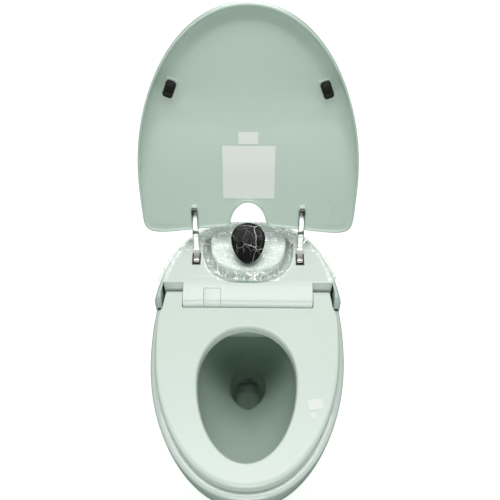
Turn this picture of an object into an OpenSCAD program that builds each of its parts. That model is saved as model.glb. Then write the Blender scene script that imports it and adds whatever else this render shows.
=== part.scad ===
// Floor-standing electronic bidet toilet: egg-shaped ceramic body, seat unit at the
// rear, chrome-armed lid shown raised, seat down. Front is -Y, right is +X, up is +Z.
// Origin: centre of the waste outlet on the floor. Millimetres and degrees.

/* [Ceramic body] */
// half width of the body at its widest line
body_half = 207; // [180:1:230]
// y of the widest line
body_wide_y = -20; // [-60:1:20]
// front reach of the rim from the widest line
body_front = 342; // [300:1:380]
// rear reach of the body from the widest line
body_rear = 295; // [260:1:340]
// roundness of the front plan curve
front_pow = 2.12; // [1.8:0.01:2.6]
// roundness of the rear plan curve
rear_pow = 2.4; // [2:0.05:3.5]
// ceramic rim height at the outlet axis
rim_z = 393.5; // [370:0.5:420]
// rise of the rim and seat towards the rear
seat_tilt = 2.3; // [0:0.1:5]
// ceramic wall thickness
wall_c = 11; // [8:0.5:15]
// half width of the foot on the floor
foot_half = 122; // [90:1:160]
// y of the foot front
foot_front_y = -214; // [-260:1:-150]
// height of the ceramic shelf behind the seam
shelf_z = 300; // [260:1:340]
// y of the upright seam between ceramic and rear cover
seam_y = 56; // [40:1:80]

/* [Bowl and trap] */
// half width of the bowl opening
bowl_half = 119; // [105:1:140]
// y of the bowl opening front
bowl_front_y = -318; // [-330:1:-290]
// y of the bowl opening rear
bowl_rear_y = 2; // [-15:1:15]
// height of the well mouth
well_z = 205; // [180:1:230]
// half width of the well mouth
well_half = 42; // [34:1:55]
// y of the well front
well_front_y = -92; // [-120:1:-70]
// depth of the well below its mouth
well_depth = 86; // [60:1:95]
// inside radius of the trapway
trap_r = 26; // [22:0.5:30]
// inside radius of the outlet chamber
outlet_chamber_r = 52; // [48:1:60]

/* [Waste connector and floor fixing] */
// bore radius of the waste connector
waste_r = 45; // [40:1:50]
// length of the waste connector
waste_len = 32; // [20:1:40]
// height the connector stands above the floor
waste_up = 24; // [12:1:30]
// half distance between the floor fixing bolts
fix_half = 80; // [60:1:100]
// y of the floor fixing bolts
fix_y = 110; // [80:1:150]
// radius of the floor bolt holes
fix_r = 5; // [4:0.5:6]

/* [Seat ring] */
// seat top height at the outlet axis
seat_z = 426.5; // [410:0.5:450]
// seat thickness
seat_t = 25.5; // [18:0.5:30]
// half width of the seat
seat_half = 193.5; // [180:0.5:200]
// y of the seat front
seat_front_y = -350; // [-360:1:-330]
// how far the rear corners of the seat are drawn in
seat_ease = 6.8; // [0:0.1:12]
// y where the seat begins to narrow to its rear corners
seat_ease_y = 18; // [0:1:30]
// half width of the seat hole
hole_half = 100; // [85:1:110]
// y of the middle of the seat hole
hole_mid_y = -126; // [-140:1:-100]
// front reach of the seat hole
hole_front = 175.5; // [150:0.5:190]
// rear reach of the seat hole
hole_rear = 119.5; // [90:0.5:130]
// y of the seat hinge axis
seat_axis_y = 75; // [65:0.5:85]
// height of the seat hinge axis
seat_axis_z = 416.2; // [405:0.1:425]
// radius of the round wing ends about the axis
wing_r = 13.4; // [10:0.1:16]
// radius of the seat hinge pins
seat_pin_r = 5; // [4:0.1:6]

/* [Seat unit covers] */
// half width of the front tongue
tongue_half = 140.6; // [120:0.2:150]
// gap from the seat hinge axis to the tongue nose
nose_r = 32.3; // [30:0.1:36]
// deck height over the tongue nose, before its fall
deck_z = 447; // [440:0.5:452]
// fall of the deck at the tongue nose
deck_drop = 11.3; // [6:0.1:14]
// y where the deck begins to fall towards the nose
deck_flat_y = 110; // [100:1:125]
// rise of the deck towards the rear in mm per mm
deck_rise = 0.08; // [0:0.01:0.15]
// y of the deck cover rear edge
deck_back_y = 172; // [165:1:185]
// width of the shoulder band outside the deck
band = 13; // [9:0.5:18]
// wall thickness of the plastic covers
wall_p = 3; // [2:0.1:4]
// y of the cheek fronts beside the tongue
cheek_y = 93.5; // [90:0.5:100]
// height of the rear shoulder
shoulder_z = 449; // [440:0.5:456]
// height of the platform over the recess floor
platform_up = 40; // [30:0.5:46]
// half width of the platform
platform_half = 84; // [70:1:95]
// y of the platform front
platform_front_y = 115; // [108:1:125]
// half width of the recess round the platform
recess_half = 102.5; // [90:0.5:110]
// y of the recess front
recess_front_y = 92; // [88:1:100]
// height of the recess floor
recess_z = 429; // [420:0.5:436]
// left edge of the hatch
hatch_x = -96; // [-110:1:-80]
// width of the hatch
hatch_w = 37; // [25:1:45]
// y of the hatch cover rear edge
hatch_y = 79; // [70:1:84]

/* [Lid] */
// y of the lid hinge axis
lid_axis_y = 153; // [145:0.5:165]
// height of the lid hinge axis
lid_axis_z = 449.5; // [440:0.5:455]
// angle of the raised lid above level
lid_open = 103.4; // [95:0.1:112]
// half width of the lid
lid_half = 228; // [215:1:240]
// distance from the hinge to the widest line of the lid
lid_wide = 160.5; // [140:0.5:190]
// front reach of the lid from its widest line
lid_front = 375; // [350:1:400]
// distance from the hinge to the middle of the lid rear edge
lid_back = 83.5; // [75:0.5:92]
// bow of the rear edge towards the hinge at its ends
lid_bow = 30; // [0:0.5:36]
// roundness of the lid front curve
lid_pow = 2.05; // [1.8:0.01:2.4]
// height of the lid rim over the hinge
lid_rim = 20; // [14:0.5:26]
// depth of the lid dish
lid_dish = 26; // [18:0.5:34]
// run over which the dish deepens from the rear edge
lid_ramp = 260; // [150:5:400]
// lid wall thickness
lid_t = 4.5; // [3:0.1:6]
// half width of the notch
notch_half = 39.6; // [38:0.1:50]
// distance from the hinge to the widest line of the notch
notch_mid = 75; // [60:1:82]
// distance from the hinge to the notch crown
notch_far = 140; // [120:1:150]
// half distance between the lid arms
arm_x = 115.5; // [100:0.5:125]
// arm width
arm_w = 12.6; // [9:0.1:16]
// arm thickness
arm_t = 4.5; // [3:0.1:6]
// distance from the hinge to the arm tips
arm_far = 126; // [115:1:140]
// radius of the arm eye
eye_r = 8; // [6:0.1:9]
// radius of the lid hinge pins
lid_pin_r = 3.2; // [2.5:0.1:4]
// distance from the hinge to the lid bumpers
bump_far = 379; // [350:1:400]
// half distance between the lid bumpers
bump_x = 149; // [130:1:160]
// lean of the bumpers
bump_lean = 22; // [0:1:30]

/* [Flush head] */
// y of the lower end of the head
head_y = 122; // [116:0.5:130]
// height of the lower end of the head over the platform
head_up = 7; // [3:0.5:16]
// length of the head
head_len = 90; // [70:1:100]
// half width of the head
head_half = 37; // [30:0.5:40]
// slope of the head towards the user
head_tilt = 30; // [15:1:50]
// press travel of the head cap
press = 2.5; // [1:0.1:4]

/* [Wash and dry] */
// x of the wash wand
wand_x = -19; // [-30:1:-10]
// slope of the wash wand
wand_slope = 8; // [6:1:10]
// radius of the wash wand
wand_r = 7; // [5:0.1:9]
// length of the wash wand
wand_len = 140; // [120:1:150]
// travel of the wash wand
wand_travel = 74; // [50:1:80]
// y of the gate faces
gate_y = -4; // [-8:0.5:2]
// height of the gate tops
gate_top = 397.6; // [392:0.1:400]
// gate height
gate_h = 17; // [12:0.5:20]
// left edge of the wand gate
gate_x = -49.5; // [-55:0.5:-40]
// x of the split between wand gate and dryer flap
split_x = 12.5; // [5:0.5:20]
// right edge of the dryer flap
flap_x = 50; // [40:0.5:55]

/* [Water and electrics] */
// x of the flush valve
flush_x = -64; // [-75:1:-55]
// y of the flush valve
flush_y = 112; // [105:1:125]
// x of the inlet fitting
inlet_x = -110; // [-120:1:-95]
// x of the cord gland
gland_x = 110; // [95:1:120]
// x of the dryer fan
fan_x = 50; // [40:1:55]
// y of the dryer fan
fan_y = 172; // [165:1:180]

/* [Clearances] */
// gap between separate bodies
gap = 0.5; // [0.3:0.05:1]
// gap between the seat wings and the tongue
side_gap = 2; // [1:0.1:3]
// radial running clearance of pins
run = 0.05; // [0.02:0.01:0.1]
// gap between a fixed part and its neighbour in one body
seat_gap = 0.3; // [0.1:0.05:0.5]

/* [Hidden] */
$fn = 48;
tb = tan(seat_tilt);
seam_gap = 0.6;
nose_y0 = seat_axis_y - nose_r;
platform_z = recess_z + platform_up;
head_z = platform_z + head_up;
seat_cut_y = seat_axis_y - nose_r - 1.1;
inner_w = body_half - band;
wand_z = gate_top - gate_h / 2;
screw_z = 26;
port_z = 336;
nut_r = 14;
hatch_pin = 1.2;
slot_y0 = lid_axis_y - 13.4;
slot_y1 = lid_axis_y + 15.2;
notch_back = lid_back - lid_bow * pow((notch_half + 8.2) / lid_half, 1.3);

// ---------- curves and surfaces ----------
function sp(v, p) = sign(v) * pow(abs(v), p);
function egg(t, a, lf, lr, cy, nf, nr) =
  let (s = sin(t), c = cos(t), n = s < 0 ? nf : nr, l = s < 0 ? lf : lr)
  [a * sp(c, 2 / n), cy + l * sp(s, 2 / n)];
function mix(a, b, f) = a + (b - a) * f;
function ease(f) = let (g = min(1, max(0, f))) g * g * (3 - 2 * g);
function rimz(y) = rim_z + tb * y;
function topz(y) = seat_z + tb * y;
function deckz(y) = deck_z + deck_rise * (y - nose_y0 - 8)
  - deck_drop * pow(max(0, (deck_flat_y - y) / (deck_flat_y - nose_y0)), 2);
function steps(n) = [for (i = [0 : n - 1]) i * 360 / n];

module loft(rings) {
  n = len(rings[0]);
  m = len(rings);
  pts = [for (r = rings) each r];
  polyhedron(pts, concat(
    [[for (i = [0 : n - 1]) i]],
    [[for (i = [n - 1 : -1 : 0]) (m - 1) * n + i]],
    [for (k = [0 : m - 2]) for (i = [0 : n - 1]) let (j = (i + 1) % n)
      each [[k * n + i, (k + 1) * n + i, (k + 1) * n + j],
            [k * n + i, (k + 1) * n + j, k * n + j]]]), convexity = 8);
}

module hoop(secs) {
  n = len(secs);
  m = len(secs[0]);
  pts = [for (s = secs) each s];
  polyhedron(pts, [for (a = [0 : n - 1]) for (k = [0 : m - 1])
    let (b = (a + 1) % n, l = (k + 1) % m)
    each [[a * m + k, a * m + l, b * m + l], [a * m + k, b * m + l, b * m + k]]],
    convexity = 8);
}

// box from corner to corner
module box(a, b) {
  translate(a) cube(b - a);
}

// cylinder along X
module rod_x(x0, x1, y, z, r) {
  translate([x0, y, z]) rotate([0, 90, 0]) cylinder(h = x1 - x0, r = r);
}

// cylinder along -Y (forwards)
module rod_y(x, y0, y1, z, r) {
  translate([x, y1, z]) rotate([90, 0, 0]) cylinder(h = y1 - y0, r = r);
}

// ---------- ceramic body ----------
function body_ring(f, off, cut) =
  let (g = 1 - pow(1 - f, 1.75))
  [for (t = steps(64))
    let (a = mix(foot_half, body_half, g) - off,
      fy = mix(foot_front_y, body_wide_y - body_front, g),
      ry = mix(250, body_wide_y + body_rear, g),
      p = egg(t, a, body_wide_y - fy - off, ry - body_wide_y - off, body_wide_y,
        front_pow, rear_pow))
    [p[0], p[1], f * (rimz(p[1]) - cut) - (f == 0 ? cut : 0)]];

// half width of the body at height z, at y behind the widest line
function body_x(y, z) = let (g = 1 - pow(1 - z / rimz(y), 1.75),
  a = mix(foot_half, body_half, g), l = mix(250, body_wide_y + body_rear, g) - body_wide_y)
  a * pow(1 - pow((y - body_wide_y) / l, rear_pow), 1 / rear_pow);
side_x = body_x(fix_y, screw_z);

// y of the rear wall at x and height z
function rear_y(x, z) = let (g = 1 - pow(1 - z / rimz(250), 1.75),
  a = mix(foot_half, body_half, g), l = mix(250, body_wide_y + body_rear, g) - body_wide_y)
  body_wide_y + l * pow(1 - pow(abs(x) / a, rear_pow), 1 / rear_pow);

module body_solid(off, cut) {
  loft([for (f = [0, 0.06, 0.15, 0.25, 0.36, 0.48, 0.6, 0.72, 0.84, 0.93, 0.975])
      body_ring(f, off, cut),
    body_ring(1, off + 4, cut)]);
}

function bowl_ring(q, off) =
  let (e = q, a = mix(bowl_half, well_half, pow(e, 1.7)) + off,
    fy = mix(bowl_front_y, well_front_y, pow(e, 1.1)) - off,
    ry = mix(bowl_rear_y, 8, e) + off,
    cy = mix(hole_mid_y, -42, e))
  [for (t = steps(56))
    let (p = egg(t, a, cy - fy, ry - cy, cy, 2.1, 2.3))
    [p[0], p[1], mix(rimz(p[1]), well_z, q) - (q > 0.99 ? off : 0)]];

function well_ring(q, off) =
  let (a = mix(well_half, 30, q) + off, fy = mix(well_front_y, -72, q) - off,
    ry = mix(8, -2, q) + off, cy = -40)
  [for (t = steps(56))
    let (p = egg(t, a, cy - fy, ry - cy, cy, 2.2, 2.6))
    [p[0], p[1], well_z - well_depth * q - off]];

module bowl_air(off, up) {
  loft(concat(
    [well_ring(1, off), well_ring(0.85, off - 3), well_ring(0.4, off)],
    [for (q = [1, 0.88, 0.74, 0.6, 0.46, 0.32, 0.18, 0.06]) bowl_ring(q, off)],
    [[for (p = bowl_ring(0, off)) p + [0, 0, up]]]));
}

trap_path = [[-45, 150], [0, 149], [42, 158], [76, 185], [101, 225], [130, 252],
  [162, 256], [190, 236], [203, 195], [196, 148], [168, 103], [122, 72], [72, 58], [20, 48]];
function cr(a, b, c, d, t) = 0.5 * ((2 * b) + (c - a) * t + (2 * a - 5 * b + 4 * c - d) * t * t
  + (3 * b - a - 3 * c + d) * t * t * t);
function fine(p) = concat([for (i = [0 : len(p) - 2]) for (t = [0, 0.5])
  cr(p[max(0, i - 1)], p[i], p[i + 1], p[min(len(p) - 1, i + 2)], t)], [p[len(p) - 1]]);

module trap_tube(r) {
  p = fine(trap_path);
  m = len(p);
  loft([for (k = [0 : m - 1])
    let (d = p[min(m - 1, k + 1)] - p[max(0, k - 1)], u = d / norm(d))
    [for (t = steps(24)) [r * cos(t), p[k][0] + r * sin(t) * u[1],
      p[k][1] - r * sin(t) * u[0]]]]);
}

module ceramic_body() {
  color([0.86, 0.91, 0.87])
  difference() {
    body_solid(0, 0);
    difference() {
      body_solid(wall_c, wall_c);
      bowl_air(wall_c, -wall_c + 2);
      trap_tube(trap_r + wall_c - 2);
      translate([0, 0, -1]) cylinder(h = 74, r = outlet_chamber_r + wall_c);
      box([-300, seam_y - 14, shelf_z - wall_c], [300, 400, 500]);
      box([-300, seam_y - 14, 150], [300, seam_y, 500]);
    }
    bowl_air(0, 20);
    trap_tube(trap_r);
    translate([0, 0, -1]) cylinder(h = 64, r = outlet_chamber_r);
    // shelf for the seat unit
    box([-300, seam_y, shelf_z], [300, 400, 500]);
    // notch for the nozzle bay
    box([-57, -14, gate_top - gate_h - 4], [57, seam_y + 1, 500]);
    // flush port, inlet port and side screw holes
    translate([flush_x, flush_y, shelf_z - wall_c - 1]) cylinder(h = wall_c + 2, r = 17);
    for (s = [-1, 1]) {
      rod_x(s * 110 - 30, s * 110 + 30, fix_y, screw_z, 3.5);
      rod_x(s * (side_x + 15) - 19, s * (side_x + 15) + 19, fix_y, screw_z, 8);
    }
  }
}

// ---------- waste connector, seal and floor fixing ----------
module waste_connector() {
  color([0.93, 0.93, 0.91])
  difference() {
    union() {
      translate([0, 0, 0]) cylinder(h = waste_up, r = waste_r + 4);
      cylinder(h = 5, r = waste_r + 6);
    }
    translate([0, 0, -1]) cylinder(h = waste_up + 2, r = waste_r);
  }
}

module outlet_seal() {
  color([0.15, 0.15, 0.15])
  difference() {
    translate([0, 0, 9]) cylinder(h = 12, r = outlet_chamber_r - 0.02);
    translate([0, 0, 8]) cylinder(h = 14, r = waste_r + 4.02);
  }
}

module floor_brackets() {
  color([0.75, 0.76, 0.77])
  for (s = [-1, 1])
    difference() {
      union() {
        box([s * fix_half - 15, fix_y - 16, 0], [s * fix_half + 15, fix_y + 16, 5]);
        box([s * (fix_half + 12.5) - 2.5, fix_y - 16, 0],
          [s * (fix_half + 12.5) + 2.5, fix_y + 16, 40]);
      }
      translate([s * fix_half, fix_y, -1]) cylinder(h = 8, r = fix_r);
      rod_x(s * (fix_half + 12.5) - 5, s * (fix_half + 12.5) + 5, fix_y, screw_z, 3.05);
    }
}

module floor_bolts() {
  color([0.7, 0.71, 0.72])
  for (s = [-1, 1]) {
    translate([s * fix_half, fix_y, 5.02]) cylinder(h = 2, r = 8.5);
    translate([s * fix_half, fix_y, 7.02]) cylinder(h = 6, r = 6.5, $fn = 6);
  }
}

module side_screws() {
  color([0.9, 0.92, 0.9])
  for (s = [-1, 1]) {
    x1 = s * (fix_half + 8);
    x2 = s * (side_x - 3.8);
    x3 = s * (side_x - 0.8);
    rod_x(min(x1, x2), max(x1, x2), fix_y, screw_z, 3);
    rod_x(min(x2, x3), max(x2, x3), fix_y, screw_z, 7.7);
  }
}

// ---------- seat unit chassis ----------
module inner_plan(off) {
  polygon([for (t = steps(64)) egg(t, body_half - off, body_front - off,
    body_rear - off, body_wide_y, front_pow, rear_pow)]);
}

module chassis() {
  z0 = shelf_z + seat_gap;
  color([0.55, 0.57, 0.58])
  difference() {
    union() {
      translate([0, 0, z0]) linear_extrude(4)
        difference() {
          inner_plan(20);
          translate([-300, -500]) square([600, 500 + seam_y + 4]);
        }
      // front wall, seat shelf and hinge towers
      box([-150, seam_y + 4, z0], [150, seam_y + 7, 402]);
      box([4.6 - tongue_half, nose_y0 + 6.4, 399], [tongue_half - 4.6, 100, 402]);
      for (s = [-1, 1]) box([s * 113 - 26, 142, z0], [s * 113 + 26, 168, z0 + 20]);
    }
    // ways for the wand, the duct, the flush elbow and the control lead
    box([-60, 30, 372], [60, 130, 410]);
    translate([flush_x, flush_y, z0 - 1]) cylinder(h = 6, r = 18);
  }
}

module hinge_brackets() {
  color([0.62, 0.63, 0.64])
  for (s = [-1, 1]) {
    // outer and inner cheeks carrying the lid pin
    difference() {
      union() {
        box([s * 113 - 22, 146, shelf_z + seat_gap + 20.1], [s * 113 + 22, 160, 424]);
        for (dx = [[-11.5, -8.9], [8.9, 15.5]]) {
          x0 = min(s * (arm_x + dx[0]), s * (arm_x + dx[1]));
          box([x0, 146, 424], [x0 + dx[1] - dx[0], 160, 452]);
        }
      }
      rod_x(s * arm_x - 30, s * arm_x + 30, lid_axis_y, lid_axis_z, lid_pin_r + run);
    }
    // seat bearing posts inside the tongue
    difference() {
      box([s * 128 - 4, seat_axis_y - 9, 402.1], [s * 128 + 4, seat_axis_y + 9, 428]);
      rod_x(s * 128 - 10, s * 128 + 10, seat_axis_y, seat_axis_z, seat_pin_r + 2.02);
    }
  }
}

// ---------- covers ----------
// plan of the platform and of the recess round it
module oval_plan(half, front, back) {
  cy = 200;
  polygon([for (t = steps(56)) egg(t, half, cy - front, back - cy, cy, 2.7, 3.2)]);
}

function cover_ring(z, off) = [for (t = steps(64))
  let (p = egg(t, body_half - off, body_front - off, body_rear - off, body_wide_y,
    front_pow, rear_pow)) [p[0], p[1], z + tb * (p[1] - 100)]];

module cover_solid(off, cut) {
  loft(concat([for (f = [0.68, 0.84, 0.93, 0.975]) body_ring(f, off, cut * 0.2)],
    [cover_ring(shoulder_z - 20, off), cover_ring(shoulder_z - 10 - cut, off + 2),
    cover_ring(shoulder_z - 4 - cut, off + 6), cover_ring(shoulder_z - cut, off + 15)]));
}

module rear_shell() {
  color([0.88, 0.93, 0.89])
  difference() {
    cover_solid(0, 0);
    cover_solid(wall_p, wall_p);
    // open front, flat foot and the room taken by the deck cover
    box([-300, -500, 200], [300, seam_y + seam_gap, 600]);
    box([-300, -500, 200], [300, 500, shelf_z + seam_gap]);
    translate([0, 0, 380]) linear_extrude(100) cover_hole();
    rod_y(inlet_x, 215, 330, port_z, 12);
    rod_y(gland_x, 215, 330, port_z, 9);
  }
}

module cover_hole() {
  intersection() {
    inner_plan(band - gap);
    translate([-300, 0]) square([600, deck_back_y + gap]);
  }
  oval_plan(recess_half, recess_front_y, 225);
}

// recess floor and raised platform in one tray
module platform_tray() {
  z0 = recess_z - wall_p;
  color([0.88, 0.93, 0.89])
  difference() {
    union() {
      translate([0, 0, z0]) linear_extrude(wall_p)
        oval_plan(recess_half + 4, recess_front_y - 4, 230);
      translate([0, 0, z0]) linear_extrude(shoulder_z - z0 - 0.6)
        difference() {
          oval_plan(recess_half + 3.6, recess_front_y - 3.6, 229);
          oval_plan(recess_half + 0.6, recess_front_y - 0.6, 226);
          translate([-200, 0]) square([400, deck_back_y + gap]);
        }
      translate([0, 0, z0]) linear_extrude(platform_z - z0 - 3)
        oval_plan(platform_half, platform_front_y, 222);
      translate([0, 0, platform_z - 4]) linear_extrude(3)
        oval_plan(platform_half - 1, platform_front_y + 1, 221);
      translate([0, 0, platform_z - 2]) linear_extrude(2)
        oval_plan(platform_half - 3, platform_front_y + 3, 219);
    }
    translate([0, 0, z0 - 1]) linear_extrude(platform_z - z0 - wall_p + 1)
      oval_plan(platform_half - wall_p - 1, platform_front_y + wall_p + 1, 217);
    translate([0, 160, platform_z - 20]) cylinder(h = 40, r = 12);
  }
}

// plan of the deck cover
module deck_plan(off, grow) {
  difference() {
    intersection() {
      inner_plan(off);
      union() {
        translate([-tongue_half - grow, nose_y0 - 40 + grow])
          square([2 * (tongue_half + grow), deck_back_y - nose_y0 + 40 - 2 * grow]);
        translate([-300, cheek_y + grow]) square([600, deck_back_y - cheek_y - 2 * grow]);
      }
    }
  }
}

function nose_pt(r, z) = seat_axis_y - sqrt(max(0, r * r - (z - seat_axis_z) * (z - seat_axis_z)));
// height at which the nose curve meets the deck line, closed in on by n steps
function nose_top(r, off, z, n) =
  n == 0 ? z : nose_top(r, off, deckz(nose_pt(r, z)) - off, n - 1);

module deck_profile(off) {
  r = nose_r - off;
  zt = nose_top(r, off, deck_z - deck_drop, 14);
  polygon(concat(
    [for (k = [0 : 12]) let (z = mix(404 - (off > 0 ? 2 : 0), zt, k / 12)) [nose_pt(r, z), z]],
    [for (k = [1 : 5]) let (y = mix(nose_pt(r, zt), deck_flat_y, k / 5)) [y, deckz(y) - off]],
    [[240, deckz(240) - off], [240, 404 - (off > 0 ? 2 : 0)]]));
}

// deck solid: plan and side profile together
module deck_solid(off) {
  intersection() {
    translate([0, 0, 380]) linear_extrude(140) deck_plan(band + off, off);
    translate([-250, 0, 0]) rotate([90, 0, 90]) linear_extrude(500) deck_profile(off);
  }
}

module deck_walls() {
  difference() {
    union() {
      difference() {
        deck_solid(0);
        deck_solid(wall_p);
      }
      // lip round the recess
      intersection() {
        deck_solid(0);
        translate([0, 0, recess_z + 0.5]) linear_extrude(60)
          oval_plan(recess_half + gap + wall_p, recess_front_y - gap - wall_p, 260);
      }
    }
    // recess for the platform, slots for the arms, hinge pin holes
    translate([0, 0, 380]) linear_extrude(140)
      oval_plan(recess_half + gap, recess_front_y - gap, 260);
    for (s = [-1, 1]) {
      box([s * arm_x - 8.2, slot_y0, 435], [s * arm_x + 8.2, slot_y1, 480]);
      box([s * arm_x - 16.2, 145.4, 435], [s * arm_x + 16.2, 160.6, deckz(146) - 1.4]);
      rod_x(s * tongue_half - 6, s * tongue_half + 6, seat_axis_y, seat_axis_z,
        seat_pin_r + gap);
    }
    box([-300, 88, 380], [300, deck_back_y + 1, recess_z + 0.5]);
  }
}

module deck_cover() {
  color([0.9, 0.94, 0.91])
  difference() {
    deck_walls();
    box([hatch_x - gap, -20, 425 - gap], [hatch_x + hatch_w + gap, hatch_y + gap + 0.2, 480]);
  }
  // studs that the hatch cover snaps on
  color([0.9, 0.94, 0.91])
  for (x = [hatch_x, hatch_x + hatch_w]) hatch_rod(x - 1.5, x + 1.5, 0.65);
}

// rod on the line of the snap studs of the hatch cover
module hatch_rod(x0, x1, r) {
  rod_x(x0, x1, hatch_y - hatch_pin, deckz(hatch_y) - hatch_pin, r);
}

module slot_collars() {
  color([0.05, 0.05, 0.05])
  for (s = [-1, 1])
    difference() {
      translate([s * arm_x, slot_y0, deckz(slot_y0)]) rotate([atan(deck_rise), 0, 0]) {
        box([-8.1, 0.1, -2], [8.1, slot_y1 - slot_y0 - 0.1, 0.3]);
        box([-9.6, -1.4, 0.1], [9.6, slot_y1 - slot_y0 + 1.4, 0.5]);
      }
      box([s * arm_x - 6.9, slot_y0 + 1.1, 420], [s * arm_x + 6.9, slot_y1 - 1.1, 480]);
    }
}

module hatch_cover() {
  color([0.9, 0.94, 0.91])
  difference() {
    intersection() {
      deck_walls();
      box([hatch_x, -20, 425], [hatch_x + hatch_w, hatch_y, 480]);
    }
    // blind holes for the studs
    for (x = [hatch_x, hatch_x + hatch_w]) hatch_rod(x - 4, x + 4, 0.65 + run);
  }
}

module scent_cartridge() {
  color([0.35, 0.5, 0.45])
  box([hatch_x + 3, nose_y0 + 11.3, 402.1], [hatch_x + hatch_w - 3, nose_y0 + 29.3, 434]);
}

// ---------- nozzle bay, wand, dryer ----------
module nozzle_bay() {
  z0 = gate_top - gate_h - 1.5;
  color([0.8, 0.87, 0.82])
  difference() {
    box([gate_x - 4, gate_y + 3, z0], [flap_x + 4, seam_y - 1, gate_top + 0.6]);
    box([gate_x - 1, gate_y + 2, z0 + 2], [split_x - 0.5, seam_y, gate_top + 5]);
    box([split_x + 1, gate_y + 2, z0 + 2], [flap_x + 1, seam_y, gate_top + 5]);
  }
}

// places children with the wand axis along local -Y from its tip
module on_wand() {
  translate([wand_x, gate_y + 4, wand_z]) rotate([wand_slope, 0, 0]) children();
}

module wash_wand() {
  color([0.93, 0.94, 0.93])
  on_wand() {
    difference() {
      translate([0, wand_len, 0]) rotate([90, 0, 0]) cylinder(h = wand_len, r = wand_r);
      translate([0, 12, 3]) cylinder(h = 6, r = 1.6);
      translate([0, 18, 3]) cylinder(h = 6, r = 1.2);
    }
  }
}

module wand_gate() {
  color([0.78, 0.86, 0.8])
  box([gate_x, gate_y, gate_top - gate_h], [split_x - 0.4, gate_y + 2.2, gate_top]);
  color([0.78, 0.86, 0.8])
  difference() {
    rod_y(wand_x, gate_y + 2, gate_y + 9, wand_z, 8);
    on_wand() translate([0, wand_len, 0]) rotate([90, 0, 0])
      cylinder(h = wand_len, r = wand_r + 0.02);
  }
}

module wand_guide() {
  color([0.3, 0.32, 0.33])
  on_wand()
    difference() {
      union() {
        translate([0, wand_len - 6, 0]) rotate([90, 0, 0]) cylinder(h = 84, r = wand_r + 3);
        box([-11, wand_len - 90, -13], [11, wand_len - 6, -6]);
      }
      translate([0, wand_len - 5, 0]) rotate([90, 0, 0]) cylinder(h = 86, r = wand_r + run);
    }
}

module wand_motor() {
  color([0.7, 0.71, 0.72]) {
    rod_x(wand_x - 33, wand_x - 11.3, 106, 401, 11);
    rod_x(wand_x - 36, wand_x - 33, 106, 401, 4);
  }
}

module dryer_flap() {
  color([0.78, 0.86, 0.8]) {
    box([split_x + 0.4, gate_y, gate_top - gate_h], [flap_x, gate_y + 2, gate_top]);
    rod_x(split_x + 1.5, flap_x - 0.5, gate_y + 1.4, gate_top - 1.4, 1.4);
  }
}

module dryer_duct() {
  color([0.25, 0.27, 0.28])
  translate([(split_x + flap_x) / 2, gate_y + 6, wand_z]) rotate([wand_slope, 0, 0])
    difference() {
      box([-16, 2, -6.5], [16, 120, 6.5]);
      box([-14.5, 1, -5], [14.5, 121, 5]);
    }
}

module fan_housing() {
  color([0.3, 0.32, 0.33])
  difference() {
    union() {
      translate([fan_x, fan_y, 388]) cylinder(h = 36, r = 38);
      box([14, 122, 396], [48, fan_y, 420]);
      // posts down to the chassis
      for (q = [[28, 18], [28, -18], [-22, -26]])
        translate([fan_x + q[0], fan_y + q[1], shelf_z + 4.6])
          cylinder(h = 388.5 - shelf_z - 4.6, r = 4);
    }
    translate([fan_x, fan_y, 390.5]) cylinder(h = 31, r = 35.5);
    box([17, 119, 398.5], [45.5, fan_y, 417.5]);
    translate([fan_x, fan_y, 380]) cylinder(h = 20, r = 10);
    translate([fan_x, fan_y, 380]) cylinder(h = 60, r = 2.1);
  }
}

module fan_wheel() {
  color([0.85, 0.86, 0.86])
  difference() {
    translate([fan_x, fan_y, 394]) union() {
      cylinder(h = 3, r = 31);
      cylinder(h = 24, r = 7);
      for (a = [0 : 20 : 359]) rotate([0, 0, a]) box([20, -0.8, 2.5], [31, 0.8, 22]);
    }
    translate([fan_x, fan_y, 380]) cylinder(h = 60, r = 2 + run);
  }
}

module fan_motor() {
  color([0.6, 0.61, 0.62]) {
    translate([fan_x, fan_y, 370]) cylinder(h = 17.7, r = 13);
    translate([fan_x, fan_y, 387.7]) cylinder(h = 32, r = 2);
  }
}

// ---------- water and electrics ----------
module heater_tank() {
  color([0.4, 0.42, 0.44])
  difference() {
    union() {
      box([-70, 168, shelf_z + 4.6], [40, 238, 366]);
      rod_y(-50, 155, 170, 350, 6);
      rod_y(20, 155, 170, 350, 6);
    }
    box([-67, 171, 313], [37, 235, 363]);
    rod_y(-50, 150, 172, 350, 4);
    rod_y(20, 150, 172, 350, 4);
  }
}

module wash_pump() {
  color([0.2, 0.22, 0.25]) {
    rod_x(-2, 48, 100, 330, 18);
    box([0, 90, shelf_z + 4.5], [46, 110, 316]);
    rod_x(-16, -2, 100, 330, 7);
  }
}

module inlet_valve() {
  color([0.85, 0.85, 0.82]) {
    box([inlet_x - 18, 168, 316], [inlet_x + 18, 206, 356]);
    translate([inlet_x, 187, 356]) cylinder(h = 26, r = 13);
  }
}

module inlet_fitting() {
  y0 = rear_y(abs(inlet_x) - nut_r, port_z) + seat_gap;
  color([0.78, 0.66, 0.4])
  difference() {
    union() {
      rod_y(inlet_x, 206.1, y0 + 17.5, port_z, 10.4);
      rod_y(inlet_x, y0, y0 + 3, port_z, nut_r);
    }
    rod_y(inlet_x, 206, y0 + 18, port_z, 7);
  }
}

module flush_valve() {
  color([0.85, 0.85, 0.82])
  difference() {
    union() {
      translate([flush_x, flush_y, 330]) cylinder(h = 40, r = 24);
      box([flush_x - 22, flush_y + 14, 334], [flush_x - 12, 186, 346]);
      box([-91.8, 176, 334], [flush_x - 12, 186, 346]);
    }
    translate([flush_x, flush_y, 329]) cylinder(h = 12, r = 16.05);
  }
}

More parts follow.
